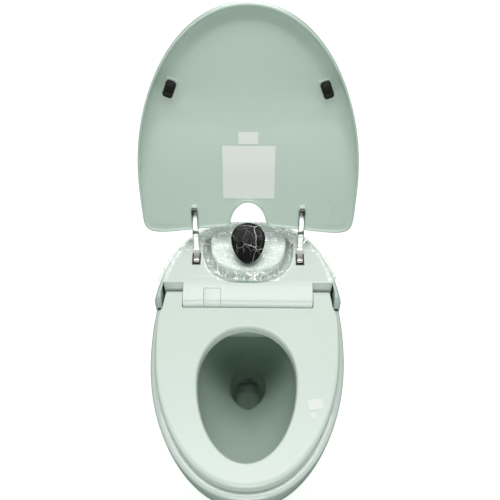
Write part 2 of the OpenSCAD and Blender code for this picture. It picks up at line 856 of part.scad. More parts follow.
module flush_elbow() {
  color([0.2, 0.2, 0.2])
  difference() {
    translate([flush_x, flush_y, shelf_z - wall_c + 2])
      cylinder(h = 341 - shelf_z + wall_c - 2, r = 16);
    translate([flush_x, flush_y, shelf_z - wall_c]) cylinder(h = 60, r = 12);
  }
}

module control_box() {
  color([0.22, 0.24, 0.26])
  difference() {
    box([62, 76, shelf_z + 4.6], [150, 138, 344]);
    box([64, 78, 307], [148, 136, 346]);
  }
  for (x = [72, 140]) for (y = [86, 128]) translate([x, y, 306.9]) cylinder(h = 4.9, r = 3);
}

module control_board() {
  color([0.1, 0.4, 0.25]) {
    box([66, 80, 312], [146, 134, 313.6]);
    box([72, 84, 313.6], [96, 104, 328]);
    box([104, 88, 313.6], [116, 100, 322]);
    translate([130, 118, 313.6]) cylinder(h = 16, r = 6);
    box([76, 112, 313.6], [90, 126, 318]);
  }
}

module cord_gland() {
  y0 = rear_y(gland_x - nut_r, port_z) + seat_gap;
  color([0.85, 0.88, 0.86])
  difference() {
    union() {
      rod_y(gland_x, y0 - 22, y0 + 10, port_z, 8.7);
      rod_y(gland_x, y0, y0 + 3.5, port_z, nut_r);
    }
    rod_y(gland_x, y0 - 23, y0 + 11, port_z, 4);
  }
}

// ---------- seat ----------
// section of the seat at angle t: u runs from the hole edge (0) to the outer edge (1)
function seat_in(t) = egg(t, hole_half, hole_front, hole_rear, hole_mid_y, 2.0, 2.05);
function seat_out(t) =
  let (p = egg(t, seat_half, body_wide_y - seat_front_y, 150, body_wide_y, 2.1, 4.2),
    y = min(p[1], seat_cut_y), g = max(0, (y - seat_ease_y) / (seat_cut_y - seat_ease_y)),
    x = min(abs(p[0]), seat_half - seat_ease * g * g))
  [sign(p[0]) * x, y];
function seat_pt(t, u, inset, dz) =
  let (a = seat_in(t), b = seat_out(t), d = (b - a) / norm(b - a),
    p = a + (b - a) * u + d * inset) [p[0], p[1], topz(p[1]) - dz];

seat_prof_out = [[0, 3, 25.5], [1, -2, 25.5], [1, 0, 21], [1, 0, 5], [1, -1.5, 1.8],
  [1, -5, 0.2], [0.5, 0, -0.6], [0, 10, 1.2], [0, 4, 4], [0, 0.8, 9], [0, 0, 15], [0, 0.6, 22]];
seat_prof_in = [[0, 6.5, 23], [1, -4.5, 23], [1, -4.5, 6], [1, -8, 4.6], [0.5, 0, 3.8],
  [0, 13, 5.4], [0, 7, 9], [0, 5, 15]];

module seat_hoop(prof) {
  hoop([for (t = steps(72)) [for (q = prof) seat_pt(t, q[0], q[1], q[2])]]);
}

module seat_wings(off) {
  for (s = [-1, 1]) {
    x0 = s > 0 ? tongue_half + side_gap + off : -seat_half + 8.8 + off;
    x1 = s > 0 ? seat_half - 8.8 - off : -tongue_half - side_gap - off;
    rod_x(x0, x1, seat_axis_y, seat_axis_z, wing_r - off);
    translate([x0, 0, 0]) rotate([90, 0, 90]) linear_extrude(x1 - x0)
      polygon([[seat_cut_y - 12, topz(seat_cut_y - 12) - 0.1 - off],
        [seat_axis_y, topz(seat_axis_y) - 0.1 - off],
        [seat_axis_y, topz(seat_axis_y) - seat_t - 1.2 + off],
        [seat_cut_y - 12, topz(seat_cut_y - 12) - seat_t + off]]);
  }
}

module seat_shell() {
  color([0.87, 0.92, 0.88])
  difference() {
    union() {
      seat_hoop(seat_prof_out);
      seat_wings(0);
    }
    hoop([for (t = steps(72)) [for (q = seat_prof_in)
      seat_pt(t, q[0], q[1], q[2] > 22 ? 30 : q[2])]]);
    for (s = [-1, 1])
      rod_x(s * 150 - 12, s * 150 + 12, seat_axis_y, seat_axis_z, seat_pin_r + 0.02);
  }
}

module seat_base() {
  color([0.8, 0.86, 0.82])
  hoop([for (t = steps(72)) [for (q = [[0, 6.8, 25.2], [1, -4.8, 25.2], [1, -4.8, 22.8],
    [0, 6.8, 22.8]]) seat_pt(t, q[0], q[1], q[2])]]);
}

module seat_heater() {
  color([0.8, 0.45, 0.2])
  hoop([for (t = steps(72)) [for (q = [[0.2, 8, 5.5], [0.8, -6, 5.1], [0.8, -6, 4.7],
    [0.2, 8, 5.1]]) seat_pt(t, q[0], q[1], q[2])]]);
}

// buffer feet under the seat
module seat_buffers() {
  color([0.2, 0.2, 0.2])
  for (s = [-1, 1]) for (y = [-200, 0])
    translate([s * (y < -100 ? 126 : 150), y, rimz(y) + 0.45])
      rotate([seat_tilt, 0, 0]) cylinder(h = seat_z - rim_z - 25.7, r = 8);
}

module seat_pins() {
  color([0.75, 0.76, 0.77])
  for (s = [-1, 1])
    rod_x(min(s * 120, s * 160), max(s * 120, s * 160), seat_axis_y, seat_axis_z, seat_pin_r);
}

module seat_bushes() {
  color([0.9, 0.9, 0.85])
  for (s = [-1, 1])
    difference() {
      rod_x(s * 128 - 4, s * 128 + 4, seat_axis_y, seat_axis_z, seat_pin_r + 2);
      rod_x(s * 128 - 5, s * 128 + 5, seat_axis_y, seat_axis_z, seat_pin_r + run);
    }
}

module seat_dampers() {
  color([0.25, 0.26, 0.28])
  for (s = [-1, 1])
    rod_x(min(s * 100.3, s * 119.7), max(s * 100.3, s * 119.7), seat_axis_y, seat_axis_z, 11);
}

module seat_stickers() {
  color([0.97, 0.97, 0.97]) {
    translate([136, -185, topz(-185) + 0.75]) rotate([seat_tilt, 0, 8])
      translate([-14.5, -11, 0]) cube([29, 22, 0.3]);
    translate([131, -208, topz(-208) + 0.75]) rotate([seat_tilt, 0, 0]) cylinder(h = 0.3, r = 6);
  }
}

// ---------- lid (drawn closed level, then raised to its rest angle) ----------
module raised() {
  translate([0, lid_axis_y, lid_axis_z]) rotate([-lid_open, 0, 0]) children();
}

// rise of the inner panel from the rear edge to the full dish depth
function lid_lift(f) = let (x = (f - lid_back) / lid_ramp) x <= 0 ? 0 : x >= 1.1 ? 1
  : x <= 0.9 ? x : 0.9 + 0.1 * ease((x - 0.9) / 0.2);
// point of the lid plan moved towards the hinge by the bow of the rear edge
function lid_bent(p) = let (f = (lid_wide + p[1]) / (lid_wide - lid_back))
  [p[0], p[1] + lid_bow * pow(abs(p[0]) / lid_half, 1.3) * min(1, max(0, f))];
function lid_ring(inset, h0, h) = [for (t = steps(80))
  let (p = lid_bent(egg(t, lid_half - inset, lid_front - inset, lid_wide - lid_back - inset,
    -lid_wide, lid_pow, 8))) [p[0], p[1], lid_rim + h0 + h * lid_lift(-p[1])]];
// inner rings drawn towards the middle of the panel
function lid_core(k, h0, h) = [for (q = lid_ring(76, 0, 0))
  let (y = mix(-lid_wide - 110, q[1], k)) [q[0] * k, y, lid_rim + h0 + h * lid_lift(-y)]];

module lid_outer() {
  d = lid_dish + lid_t;
  loft([lid_ring(2, 0, 0), lid_ring(0, 2, 0), lid_ring(0, 5, 0.22 * d), lid_ring(2, 6, 0.5 * d),
    lid_ring(6, 6.3, 0.66 * d), lid_ring(12, 6.5, 0.76 * d), lid_ring(24, 6.5, 0.8 * d),
    lid_ring(50, 6.5, 0.83 * d), lid_ring(76, 6.5, 0.85 * d), lid_core(0.66, 6.5, 0.85 * d),
    lid_core(0.3, 6.5, 0.85 * d), lid_core(0.04, 6.5, 0.85 * d)]);
}

module lid_inner() {
  d = lid_dish;
  loft([lid_ring(4, -12, 0), lid_ring(4, -1, 0), lid_ring(5, 1, 0.1 * d), lid_ring(7.5, 1.8, 0.42 * d),
    lid_ring(12, 2, 0.66 * d), lid_ring(18, 2, 0.8 * d), lid_ring(28, 2, 0.88 * d),
    lid_ring(50, 2, 0.9 * d), lid_ring(76, 2, 0.92 * d), lid_core(0.66, 2, 0.92 * d),
    lid_core(0.3, 2, 0.92 * d), lid_core(0.04, 2, 0.92 * d)]);
}

module notch_plan(grow) {
  polygon([for (t = steps(48)) egg(t, notch_half + grow, notch_far - notch_mid + grow, 40,
    -notch_mid, 2, 2)]);
  // eased corners
  translate([0, -notch_back])
    difference() {
      translate([-notch_half - 8.2, -8]) square([2 * notch_half + 16.4, 30]);
      for (s = [-1, 1]) translate([s * (notch_half + 8.2), -8.5]) circle(r = 9);
    }
}

module lid_shell() {
  color([0.74, 0.82, 0.77])
  raised() {
    difference() {
      union() {
        difference() {
          lid_outer();
          lid_inner();
        }
        // arm sockets and bumper pads on the inside
        for (s = [-1, 1]) {
          translate([s * arm_x, 0, 0]) intersection() {
            union() {
              translate([-10, -arm_far - 1, lid_rim - 4]) cube([20, 36, 14]);
              translate([0, -arm_far - 1, lid_rim - 4]) cylinder(h = 14, r = 10);
            }
            translate([-20, -200, 0]) cube([40, 200, lid_rim + 10]);
          }
          bump_place(s) translate([-11.5, -18, -1.5]) cube([23, 36, 6]);
        }
      }
      translate([0, 0, -10]) linear_extrude(100) notch_plan(0);
      for (s = [-1, 1]) {
        translate([s * arm_x, 0, 0]) arm_bar(0.02);
      }
    }
  }
}

// inner panel height over the hinge at distance f
function panel(f) = lid_rim + 2 + 0.92 * lid_dish * lid_lift(f);

module bump_place(s) {
  translate([s * bump_x, -bump_far, panel(bump_far) - 2.5]) rotate([0, 0, s * -bump_lean])
    children();
}

// chrome strap: side view drawn as a thick line, then given width
module arm_bar(grow) {
  h = arm_t / 2 + grow;
  rotate([90, 0, -90]) translate([0, 0, -arm_w / 2 - grow]) linear_extrude(arm_w + 2 * grow)
    polygon(concat(
      [for (f = [4 : 4 : 124]) [f + (f < 12 ? h * 0.6 : 0), arm_c(f) - h]],
      [[arm_far + grow, arm_c(arm_far) - h], [arm_far + grow, arm_c(arm_far) + h]],
      [for (f = [124 : -4 : 4]) [f - (f < 12 ? h * 0.8 : 0), arm_c(f) + h]]));
}
function arm_c(f) = mix(4, lid_rim - 2.6, ease((f + 2) / 30));

module lid_arms() {
  color([0.85, 0.86, 0.87])
  raised()
    for (s = [-1, 1])
      difference() {
        union() {
          translate([s * arm_x, 0, 0]) arm_bar(0);
          rod_x(s * arm_x - arm_w / 2, s * arm_x + arm_w / 2, 0, 0, eye_r);
        }
        rod_x(s * arm_x - 20, s * arm_x + 20, 0, 0, lid_pin_r + run);
      }
}

module lid_bumpers() {
  color([0.04, 0.04, 0.04])
  raised()
    for (s = [-1, 1]) bump_place(s)
      difference() {
        union() {
          translate([-7, -13.5, -16]) cube([14, 27, 14.4]);
          translate([-10, -16.5, -15]) cube([20, 33, 13.4]);
        }
        translate([0, 0, -17]) cylinder(h = 8, r = 6);
        translate([0, 0, -18]) cylinder(h = 20, r = 2.05);
      }
}

module bumper_screws() {
  color([0.5, 0.5, 0.5])
  raised()
    for (s = [-1, 1]) bump_place(s) {
      translate([0, 0, -10.9]) cylinder(h = 1.8, r = 4);
      translate([0, 0, -9.2]) cylinder(h = 7.5, r = 2);
    }
}

module lid_pins() {
  color([0.75, 0.76, 0.77])
  for (s = [-1, 1])
    rod_x(min(s * (arm_x - 11.4), s * (arm_x + 15.4)), max(s * (arm_x - 11.4),
      s * (arm_x + 15.4)), lid_axis_y, lid_axis_z, lid_pin_r);
}

module lid_dampers() {
  color([0.25, 0.26, 0.28])
  for (s = [-1, 1]) {
    x1 = s * 91;
    x2 = s * 119;
    rod_x(min(x1, x2), max(x1, x2), 135.8, 412, 10);
  }
}

module lid_stickers() {
  color([0.96, 0.96, 0.95])
  raised() {
    for (q = [[-53, 146, 108, 117], [-20, 265.5, 40, 26]])
      translate([q[0], -q[1], panel(q[1]) - 0.9])
        rotate([-atan(0.92 * lid_dish / lid_ramp), 0, 0]) translate([0, -q[3], 0])
          cube([q[2], q[3], 0.3]);
  }
}

// ---------- flush head ----------
module on_head() {
  translate([0, head_y, head_z]) rotate([head_tilt, 0, 0]) children();
}

module head_plan(off) {
  polygon([for (t = steps(64)) egg(t, head_half - off, head_len * 0.62 - off,
    head_len * 0.38 - off, head_len * 0.62, 1.85, 2.0)]);
}

module head_body() {
  color([0.06, 0.06, 0.06])
  difference() {
    union() {
      on_head() difference() {
        union() {
          translate([0, 0, -6]) linear_extrude(9) head_plan(1.5);
          translate([0, 0, -11]) linear_extrude(5) head_plan(6);
        }
        translate([0, 0, -2]) linear_extrude(20) head_plan(3.5);
      }
      translate([0, 160, platform_z + 0.2]) cylinder(h = 14, r = 20);
      translate([0, 160, platform_z - 14]) cylinder(h = 20, r = 11.5);
    }
    on_head() translate([0, 0, -2]) linear_extrude(60) head_plan(3.5);
  }
}

module head_cap() {
  color([0.02, 0.02, 0.02])
  on_head()
    difference() {
      union() {
        translate([0, 0, 1]) linear_extrude(6) head_plan(4);
        translate([0, 0, press + 3.3]) linear_extrude(5) head_plan(0);
        translate([0, 0, press + 8.2]) linear_extrude(2.4) head_plan(1.6);
        translate([0, 0, press + 10.5]) linear_extrude(1.6) head_plan(5);
        translate([0, 0, press + 12]) linear_extrude(0.8) head_plan(11);
      }
      translate([0, head_len * 0.55, 0]) cylinder(h = 5, r = 9);
    }
}

module head_spring() {
  color([0.7, 0.7, 0.7])
  on_head()
    difference() {
      translate([0, head_len * 0.55, -1.98]) cylinder(h = 4.3, r = 8);
      translate([0, head_len * 0.55, -3]) cylinder(h = 8, r = 6.5);
    }
}

// ---------- clear transit film over the rear ----------
module film_plan(off) {
  polygon([for (t = steps(40)) egg(t, platform_half + off, 200 - platform_front_y + off,
    22 + off, 200, 2.7, 3.2)]);
}

module protective_film() {
  color([0.95, 0.98, 0.96, 0.35])
  difference() {
    union() {
      translate([0, 0, recess_z + 2]) linear_extrude(platform_z - recess_z - 0.7)
        film_plan(1.2);
      // shelf sheet behind the platform
      translate([0, 100, shoulder_z + 0.6]) rotate([seat_tilt, 0, 0])
        translate([0, -100, 0]) linear_extrude(0.5)
          intersection() {
            inner_plan(18);
            translate([-300, deck_back_y + 6]) square([600, 300]);
          }
      on_head() translate([0, 0, -3]) linear_extrude(press + 17.5) head_plan(-1.4);
    }
    translate([0, 0, recess_z]) linear_extrude(platform_z - recess_z + 0.6) film_plan(0.7);
    on_head() translate([0, 0, -30]) linear_extrude(press + 44) head_plan(-0.9);
    translate([0, 160, platform_z - 5]) cylinder(h = 30, r = 20.6);
  }
}

ceramic_body();
waste_connector();
outlet_seal();
floor_brackets();
floor_bolts();
side_screws();
chassis();
hinge_brackets();
rear_shell();
platform_tray();
deck_cover();
slot_collars();
hatch_cover();
scent_cartridge();
nozzle_bay();
wash_wand();
wand_gate();
wand_guide();
wand_motor();
dryer_flap();
dryer_duct();
fan_housing();
fan_wheel();
fan_motor();
heater_tank();
wash_pump();
inlet_valve();
inlet_fitting();
flush_valve();
flush_elbow();
control_box();
control_board();
seat_shell();
seat_base();
seat_heater();
seat_buffers();
seat_pins();
seat_bushes();
seat_dampers();
seat_stickers();
lid_shell();
lid_arms();
lid_bumpers();
bumper_screws();
lid_pins();
lid_dampers();
lid_stickers();
head_body();
head_cap();
head_spring();
cord_gland();
protective_film();
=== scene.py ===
"""Looks of an egg-shaped floor-standing bidet toilet with a raised lid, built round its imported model.
Metres and degrees, in the frame of the model: +Z up, the front at -Y, the waste outlet at the origin."""

from math import atan2, copysign, cos, hypot, pi, radians, sin, sqrt, tan, tau

import bmesh
import bpy
from mathutils import Matrix, Vector, noise


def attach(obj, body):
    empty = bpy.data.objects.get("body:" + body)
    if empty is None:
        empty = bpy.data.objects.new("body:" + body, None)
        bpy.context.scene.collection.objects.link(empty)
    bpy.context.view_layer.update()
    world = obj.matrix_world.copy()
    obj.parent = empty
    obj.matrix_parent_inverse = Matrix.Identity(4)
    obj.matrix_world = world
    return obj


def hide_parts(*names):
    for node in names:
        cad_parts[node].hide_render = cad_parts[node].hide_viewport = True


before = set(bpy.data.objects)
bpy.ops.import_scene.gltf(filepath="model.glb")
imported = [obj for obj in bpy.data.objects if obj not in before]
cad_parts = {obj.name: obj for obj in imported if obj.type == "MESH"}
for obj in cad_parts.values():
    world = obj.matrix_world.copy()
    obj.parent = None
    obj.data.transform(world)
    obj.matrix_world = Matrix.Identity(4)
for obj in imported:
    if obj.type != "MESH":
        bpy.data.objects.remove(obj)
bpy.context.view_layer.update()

# ---------- camera ----------
# The photograph looks down at the toilet from in front, square to it and a little off level.
# The picture is shifted, because it is framed close under the body.
scene = bpy.context.scene
camera = bpy.data.objects.new("camera", bpy.data.cameras.new("camera"))
scene.collection.objects.link(camera)
scene.camera = camera
camera.location = (0.0125, -0.738, 1.540)
camera.rotation_mode = "ZYX"
camera.rotation_euler = (radians(90 - 54.75), 0, radians(0.37))
camera.data.sensor_width = 36
camera.data.lens = 45.1
camera.data.shift_x = -0.007
camera.data.shift_y = 0.110
scene.view_settings.view_transform = "Standard"

# ---------- studio ----------
# A white floor and soft light: a broad lamp overhead, one in front, one behind and two weak ones at the sides.
# The sky and the floor look white, and throw only a dim, slightly green light on the toilet.


class Shade:
    """A shader socket. Arithmetic on it adds Math nodes, and node() adds any other node."""

    def __init__(self, tree, socket=None):
        self.tree = tree
        self.socket = socket

    def node(self, kind, settings=None, values=None, out=0):
        made = self.tree.nodes.new("ShaderNode" + kind)
        for key, value in (settings or {}).items():
            setattr(made, key, value)
        for key, value in (values or {}).items():
            if isinstance(value, Shade):
                self.tree.links.new(value.socket, made.inputs[key])
            else:
                made.inputs[key].default_value = value
        return Shade(self.tree, made.outputs[out])

    def calc(self, operation, first, second=0.0):
        return self.node("Math", {"operation": operation}, {0: first, 1: second})

    def __add__(self, other):
        return self.calc("ADD", self, other)

    def __sub__(self, other):
        return self.calc("SUBTRACT", self, other)

    def __mul__(self, other):
        return self.calc("MULTIPLY", self, other)

    def __truediv__(self, other):
        return self.calc("DIVIDE", self, other)

    def __rsub__(self, other):
        return self.calc("SUBTRACT", other, self)

    def __pow__(self, other):
        return self.calc("POWER", self, other)

    __radd__ = __add__
    __rmul__ = __mul__

    def __abs__(self):
        return self.calc("ABSOLUTE", self)

    def most(self, other):
        return self.calc("MAXIMUM", self, other)

    def axis(self, number):
        """One coordinate of this place."""
        return self.node("SeparateXYZ", None, {0: self}, out=number)

    def noise(self, scale, detail, out=0):
        return self.node("TexNoise", None, {"Vector": self, "Scale": scale, "Detail": detail}, out)

    def band(self, low, high):
        """0 below low, 1 above high, smooth between."""
        return self.node("MapRange", {"interpolation_type": "SMOOTHSTEP"},
                         {"Value": self, "From Min": low, "From Max": high})

    def blend(self, first, second):
        """Colour first where this mask is 0, second where it is 1."""
        colours = {6: as_colour(first), 7: as_colour(second)}
        return self.node("Mix", {"data_type": "RGBA"}, {0: self, **colours}, out=2)


def as_colour(value):
    return value if isinstance(value, Shade) else (*value, 1)


def start_finish(name):
    """A new material, and where each of its points lies in the frame of the model."""
    material = bpy.data.materials.new(name)
    material.use_nodes = True
    return material, Shade(material.node_tree).node("TexCoord", out=3)


def feed(material, **sockets):
    """Sets or links sockets of a material's shader, written with _ for a space."""
    shader = material.node_tree.nodes["Principled BSDF"]
    for key, value in sockets.items():
        socket = shader.inputs[key.replace("_", " ")]
        if isinstance(value, Shade):
            value.tree.links.new(value.socket, socket)
        else:
            socket.default_value = value


def bump(height, strength, distance):
    return height.node("Bump", None, {"Strength": strength, "Distance": distance, "Height": height})


def soft_lamp(name, place, aim, size, power):
    lamp = bpy.data.objects.new(name, bpy.data.lights.new(name, "AREA"))
    scene.collection.objects.link(lamp)
    lamp.location = place
    lamp.rotation_euler = (Vector(aim) - Vector(place)).to_track_quat("-Z", "Y").to_euler()
    lamp.data.shape = "RECTANGLE"
    lamp.data.size, lamp.data.size_y = size
    lamp.data.energy = power


soft_lamp("lamp_over", (0, 0.0, 3.2), (0, 0, 0), (2.4, 1.6), 44)
soft_lamp("lamp_front", (0, -3.0, 1.3), (0, 0, 0.5), (2.0, 1.2), 24)
soft_lamp("lamp_back", (0, 3.0, 1.5), (0, 0, 0.5), (2.0, 1.2), 18)
for name, x in (("lamp_left", -2.4), ("lamp_right", 2.4)):
    soft_lamp(name, (x, -0.8, 1.9), (0, 0, 0.4), (0.8, 1.8), 1.0)

sky = bpy.data.worlds.new("sky")
scene.world = sky
sky.use_nodes = True
sky_tree = sky.node_tree
by_camera, in_gloss, through_glass = (Shade(sky_tree).node("LightPath", out=ray) for ray in (0, 3, 6))
tone = by_camera.most(in_gloss).most(through_glass).blend((0.18, 0.23, 0.20), (1, 1, 1))
sky_tree.links.new(tone.socket, sky_tree.nodes["Background"].inputs["Color"])

bpy.ops.mesh.primitive_plane_add(size=14)
floor = bpy.context.object
floor.name = "floor"
floor_finish, place = start_finish("floor_white")
by_camera = place.node("LightPath", out=0)
feed(floor_finish, Base_Color=by_camera.blend((0.30, 0.37, 0.33), (0.97, 0.975, 0.97)), Roughness=0.9,
     Specular_IOR_Level=0.0, Emission_Color=by_camera.blend((0, 0, 0), (1, 1, 1)), Emission_Strength=0.56)
floor.data.materials.append(floor_finish)

# ---------- ceramic body ----------
# One glazed vitreous china casting: an egg-shaped skirt, a rim, the bowl with its well and the trapway.
# It is slip-cast, glazed all over where it shows and stands on its own foot ring.


def egg(turn, half, front, back, middle, front_power, back_power):
    """A point of an egg-shaped plan: front and back are its reaches from the widest line."""
    c, s = cos(turn), sin(turn)
    power, reach = (front_power, front) if s < 0 else (back_power, back)
    x = half * copysign(abs(c) ** (2 / power), c)
    return x, middle + reach * copysign(abs(s) ** (2 / power), s)


def turns(count):
    return [tau * step / count for step in range(count)]


def mix(first, second, share):
    return first + (second - first) * share


def quarter(count, first=0):
    """Steps of a quarter turn, to round an edge: 1 - cos, which rises, and 1 - sin, which falls."""
    bends = [radians(90 * step / count) for step in range(first, count + 1)]
    return [(1 - cos(bend), 1 - sin(bend)) for bend in bends]


def draw_skin(name, rings, caps=(True, True)):
    """A skin drawn ring by ring: a circle laid on the first ring, its edge extruded to each next one."""
    bpy.ops.mesh.primitive_circle_add(vertices=len(rings[0]))
    piece = bpy.context.object
    piece.name = piece.data.name = name
    bpy.ops.object.mode_set(mode="EDIT")
    mesh = bmesh.from_edit_mesh(piece.data)
    number = mesh.verts.layers.int.new("number")
    for index, vert in enumerate(mesh.verts):
        vert[number] = index
        vert.co = rings[0][index]
    bpy.ops.mesh.select_all(action="SELECT")
    if caps[0]:
        bpy.ops.mesh.edge_face_add()
    for ring in rings[1:]:
        bpy.ops.mesh.extrude_edges_move()
        mesh = bmesh.from_edit_mesh(piece.data)
        number = mesh.verts.layers.int["number"]
        for vert in mesh.verts:
            if vert.select:
                vert.co = ring[vert[number]]
    if caps[1]:
        bpy.ops.mesh.edge_face_add()
    bpy.ops.mesh.select_all(action="SELECT")
    bpy.ops.mesh.remove_doubles(threshold=1e-6)
    bpy.ops.mesh.normals_make_consistent()
    bpy.ops.object.mode_set(mode="OBJECT")
    return piece


def prism(plan, low, high):
    """An upright shape over a plan, for cutting with."""
    return draw_skin("prism", [[(point[0], point[1], z) for point in plan] for z in (low, high)])


def apply_modifier(piece, kind, **settings):
    modifier = piece.modifiers.new(kind.lower(), kind)
    for key, value in settings.items():
        setattr(modifier, key, value)
    bpy.context.view_layer.objects.active = piece
    bpy.ops.object.modifier_apply(modifier=modifier.name)


def carve(piece, tool, operation="DIFFERENCE"):
    """Takes tool away from piece, or joins it on, and deletes the tool."""
    apply_modifier(piece, "BOOLEAN", object=tool, operation=operation, solver="MANIFOLD")
    bpy.data.objects.remove(tool)


def block(low, high):
    """A plain box between two corners, for cutting with."""
    bpy.ops.mesh.primitive_cube_add(size=1, location=(Vector(low) + Vector(high)) / 2)
    tool = bpy.context.object
    tool.scale = Vector(high) - Vector(low)
    bpy.ops.object.transform_apply()
    return tool


def rod(start, end, radius, sides=64):
    """A round bar from one point to another."""
    start, end = Vector(start), Vector(end)
    bpy.ops.mesh.primitive_cylinder_add(vertices=sides, radius=radius, depth=(end - start).length)
    tool = bpy.context.object
    tool.location = (start + end) / 2
    tool.rotation_mode = "QUATERNION"
    tool.rotation_quaternion = (end - start).to_track_quat("Z", "Y")
    bpy.ops.object.transform_apply()
    return tool


def pick(*pieces):
    """Selects these pieces only, the last one active."""
    bpy.ops.object.select_all(action="DESELECT")
    for piece in pieces:
        piece.select_set(True)
        bpy.context.view_layer.objects.active = piece


def smooth(piece, degrees):
    pick(piece)
    bpy.ops.object.shade_smooth_by_angle(angle=radians(degrees))


def finish_piece(piece, material, body, slot, *stands_for):
    """Dresses a piece in its material, ties it to its body and hides the nodes it stands for. The slot is not used.
    """
    piece.data.materials.clear()
    piece.data.materials.append(material)
    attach(piece, body)
    if stands_for:
        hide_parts(*stands_for)


tilt = tan(radians(2.3))
body_half, body_front, body_back, body_line = 0.207, 0.342, 0.295, -0.020
foot_half, foot_front, foot_back = 0.122, 0.194, 0.270
front_power, back_power = 2.12, 2.4
rim_height, edge_round, lip_round = 0.3935, 0.009, 0.012
shelf_height, seam_y = 0.300, 0.056
well_mouth, well_depth, well_round, well_line = 0.205, 0.086, 0.014, -0.040
trap_radius, chamber_radius = 0.026, 0.052
bay_half, bay_front, bay_floor = 0.057, -0.014, 0.3766
inlet_x, inlet_y, inlet_radius = -0.064, 0.112, 0.017
fix_y, screw_height, side_x = 0.110, 0.026, 0.1217
wall, coarse = 0.011, 96


def rim_z(y):
    return rim_height + tilt * y


def egg_plan(half, front, back, height=0.0, count=128, middle=body_line, powers=(front_power, back_power)):
    """An egg-shaped ring at a height."""
    return [(*egg(turn, half, front, back, middle, *powers), height) for turn in turns(count)]


def skirt(share, inset=0.0, drop=0.0, count=128):
    """Ring of the skirt at a share of its height, drawn in by inset."""
    flare = 1 - (1 - share) ** 1.75
    half = mix(foot_half, body_half, flare) - inset
    front = mix(foot_front, body_front, flare) - inset
    back = mix(foot_back, body_back, flare) - inset
    return [(x, y, share * rim_z(y) - drop) for x, y, z in egg_plan(half, front, back, 0, count)]


def bowl_ring(share, grow=0.0, count=128):
    """Ring of the bowl from its opening (0) to the mouth of the well (1)."""
    half = mix(0.119, 0.042, share ** 1.7) + grow
    front = mix(-0.318, -0.092, share ** 1.1) - grow
    back = mix(0.002, 0.008, share) + grow
    middle = mix(-0.126, -0.042, share)
    plan = egg_plan(half, middle - front, back - middle, 0, count, middle, (2.1 - 0.45 * share, 2.3))
    return [(x, y, mix(rim_z(y), well_mouth, share)) for x, y, z in plan]


def well_ring(share, grow=0.0, count=128):
    """Ring of the well below the bowl, from its mouth (0) to its floor (1)."""
    half = mix(0.042, 0.030, share) + grow
    front = mix(-0.092, -0.072, share) - grow
    back = mix(0.008, -0.002, share) + grow
    height, powers = well_mouth - well_depth * share, (mix(1.65, 2.1, share), 2.5)
    return egg_plan(half, well_line - front, back - well_line, height, count, well_line, powers)


outer = [skirt(0, 0.0015), skirt(0.004)]
outer += [skirt(0.02 + 0.945 * step / 44) for step in range(45)]
outer += [[(x, y, rim_z(y) - edge_round * falling) for x, y, z in skirt(1, edge_round * rising)]
          for rising, falling in quarter(8, 1)]
inner = [[(x, y, z - lip_round * rising) for x, y, z in bowl_ring(0.0, lip_round * falling)]
         for rising, falling in quarter(8)]
inner += [bowl_ring(0.035 + 0.945 * step / 36) for step in range(37)]
inner += [well_ring(0.03 + 0.80 * step / 12) for step in range(13)]
inner += [[(x, y, z - well_round * (1 - falling)) for x, y, z in well_ring(0.84, -well_round * rising)]
          for rising, falling in quarter(6, 1)]
ceramic = draw_skin("ceramic", outer + inner)
carve(ceramic, block((-0.3, seam_y, shelf_height), (0.3, 0.4, 0.5)))
carve(ceramic, block((-bay_half, bay_front, bay_floor), (bay_half, seam_y + 0.001, 0.5)))
trap_line = [(-0.045, 0.150), (0, 0.149), (0.042, 0.158), (0.076, 0.185), (0.101, 0.225), (0.130, 0.252),
             (0.162, 0.256), (0.190, 0.236), (0.203, 0.195), (0.196, 0.148), (0.168, 0.103),
             (0.122, 0.072), (0.072, 0.058), (0.020, 0.048)]


def trap_rings(radius):
    rings = []
    for index, (y, z) in enumerate(trap_line):
        before, after = trap_line[max(0, index - 1)], trap_line[min(len(trap_line) - 1, index + 1)]
        along = Vector((after[0] - before[0], after[1] - before[1])).normalized()
        rings.append([(radius * cos(turn), y + radius * sin(turn) * along[1],
                       z - radius * sin(turn) * along[0]) for turn in turns(48)])
    return rings


carve(ceramic, draw_skin("trap", trap_rings(trap_radius)))
carve(ceramic, rod((0, 0, -0.001), (0, 0, 0.063), chamber_radius))
carve(ceramic, rod((inlet_x, inlet_y, 0.288), (inlet_x, inlet_y, 0.302), inlet_radius))
rings = [skirt(share, wall, wall, coarse) for share in (0, 0.06, 0.15, 0.25, 0.36, 0.48, 0.6, 0.72, 0.84, 0.93)]
hollow = draw_skin("hollow", rings + [skirt(1, wall + 0.004, wall, coarse)])
rings = [[(x, y, z - wall) for x, y, z in well_ring(1, wall, coarse)]]
rings += [well_ring(share, wall, coarse) for share in (0.85, 0.4)]
rings += [bowl_ring(share, wall, coarse) for share in (1, 0.88, 0.74, 0.6, 0.46, 0.32, 0.18, 0.06)]
rings += [[(x, y, z - 0.009) for x, y, z in bowl_ring(0, wall, coarse)]]
carve(hollow, draw_skin("bowl_outside", rings))
carve(hollow, draw_skin("trap_outside", trap_rings(trap_radius + wall - 0.002)))
carve(hollow, rod((0, 0, -0.02), (0, 0, 0.073), chamber_radius + wall))
for back, foot in ((0.4, shelf_height - wall), (seam_y, 0.150)):
    carve(hollow, block((-0.3, seam_y - 0.014, foot), (0.3, back, 0.5)))
carve(ceramic, hollow)
for side in (-1, 1):
    for near, far, radius in ((0.080, 0.140, 0.0035), (side_x - 0.004, side_x + 0.034, 0.008)):
        carve(ceramic, rod((side * near, fix_y, screw_height), (side * far, fix_y, screw_height), radius, 32))
smooth(ceramic, 38)

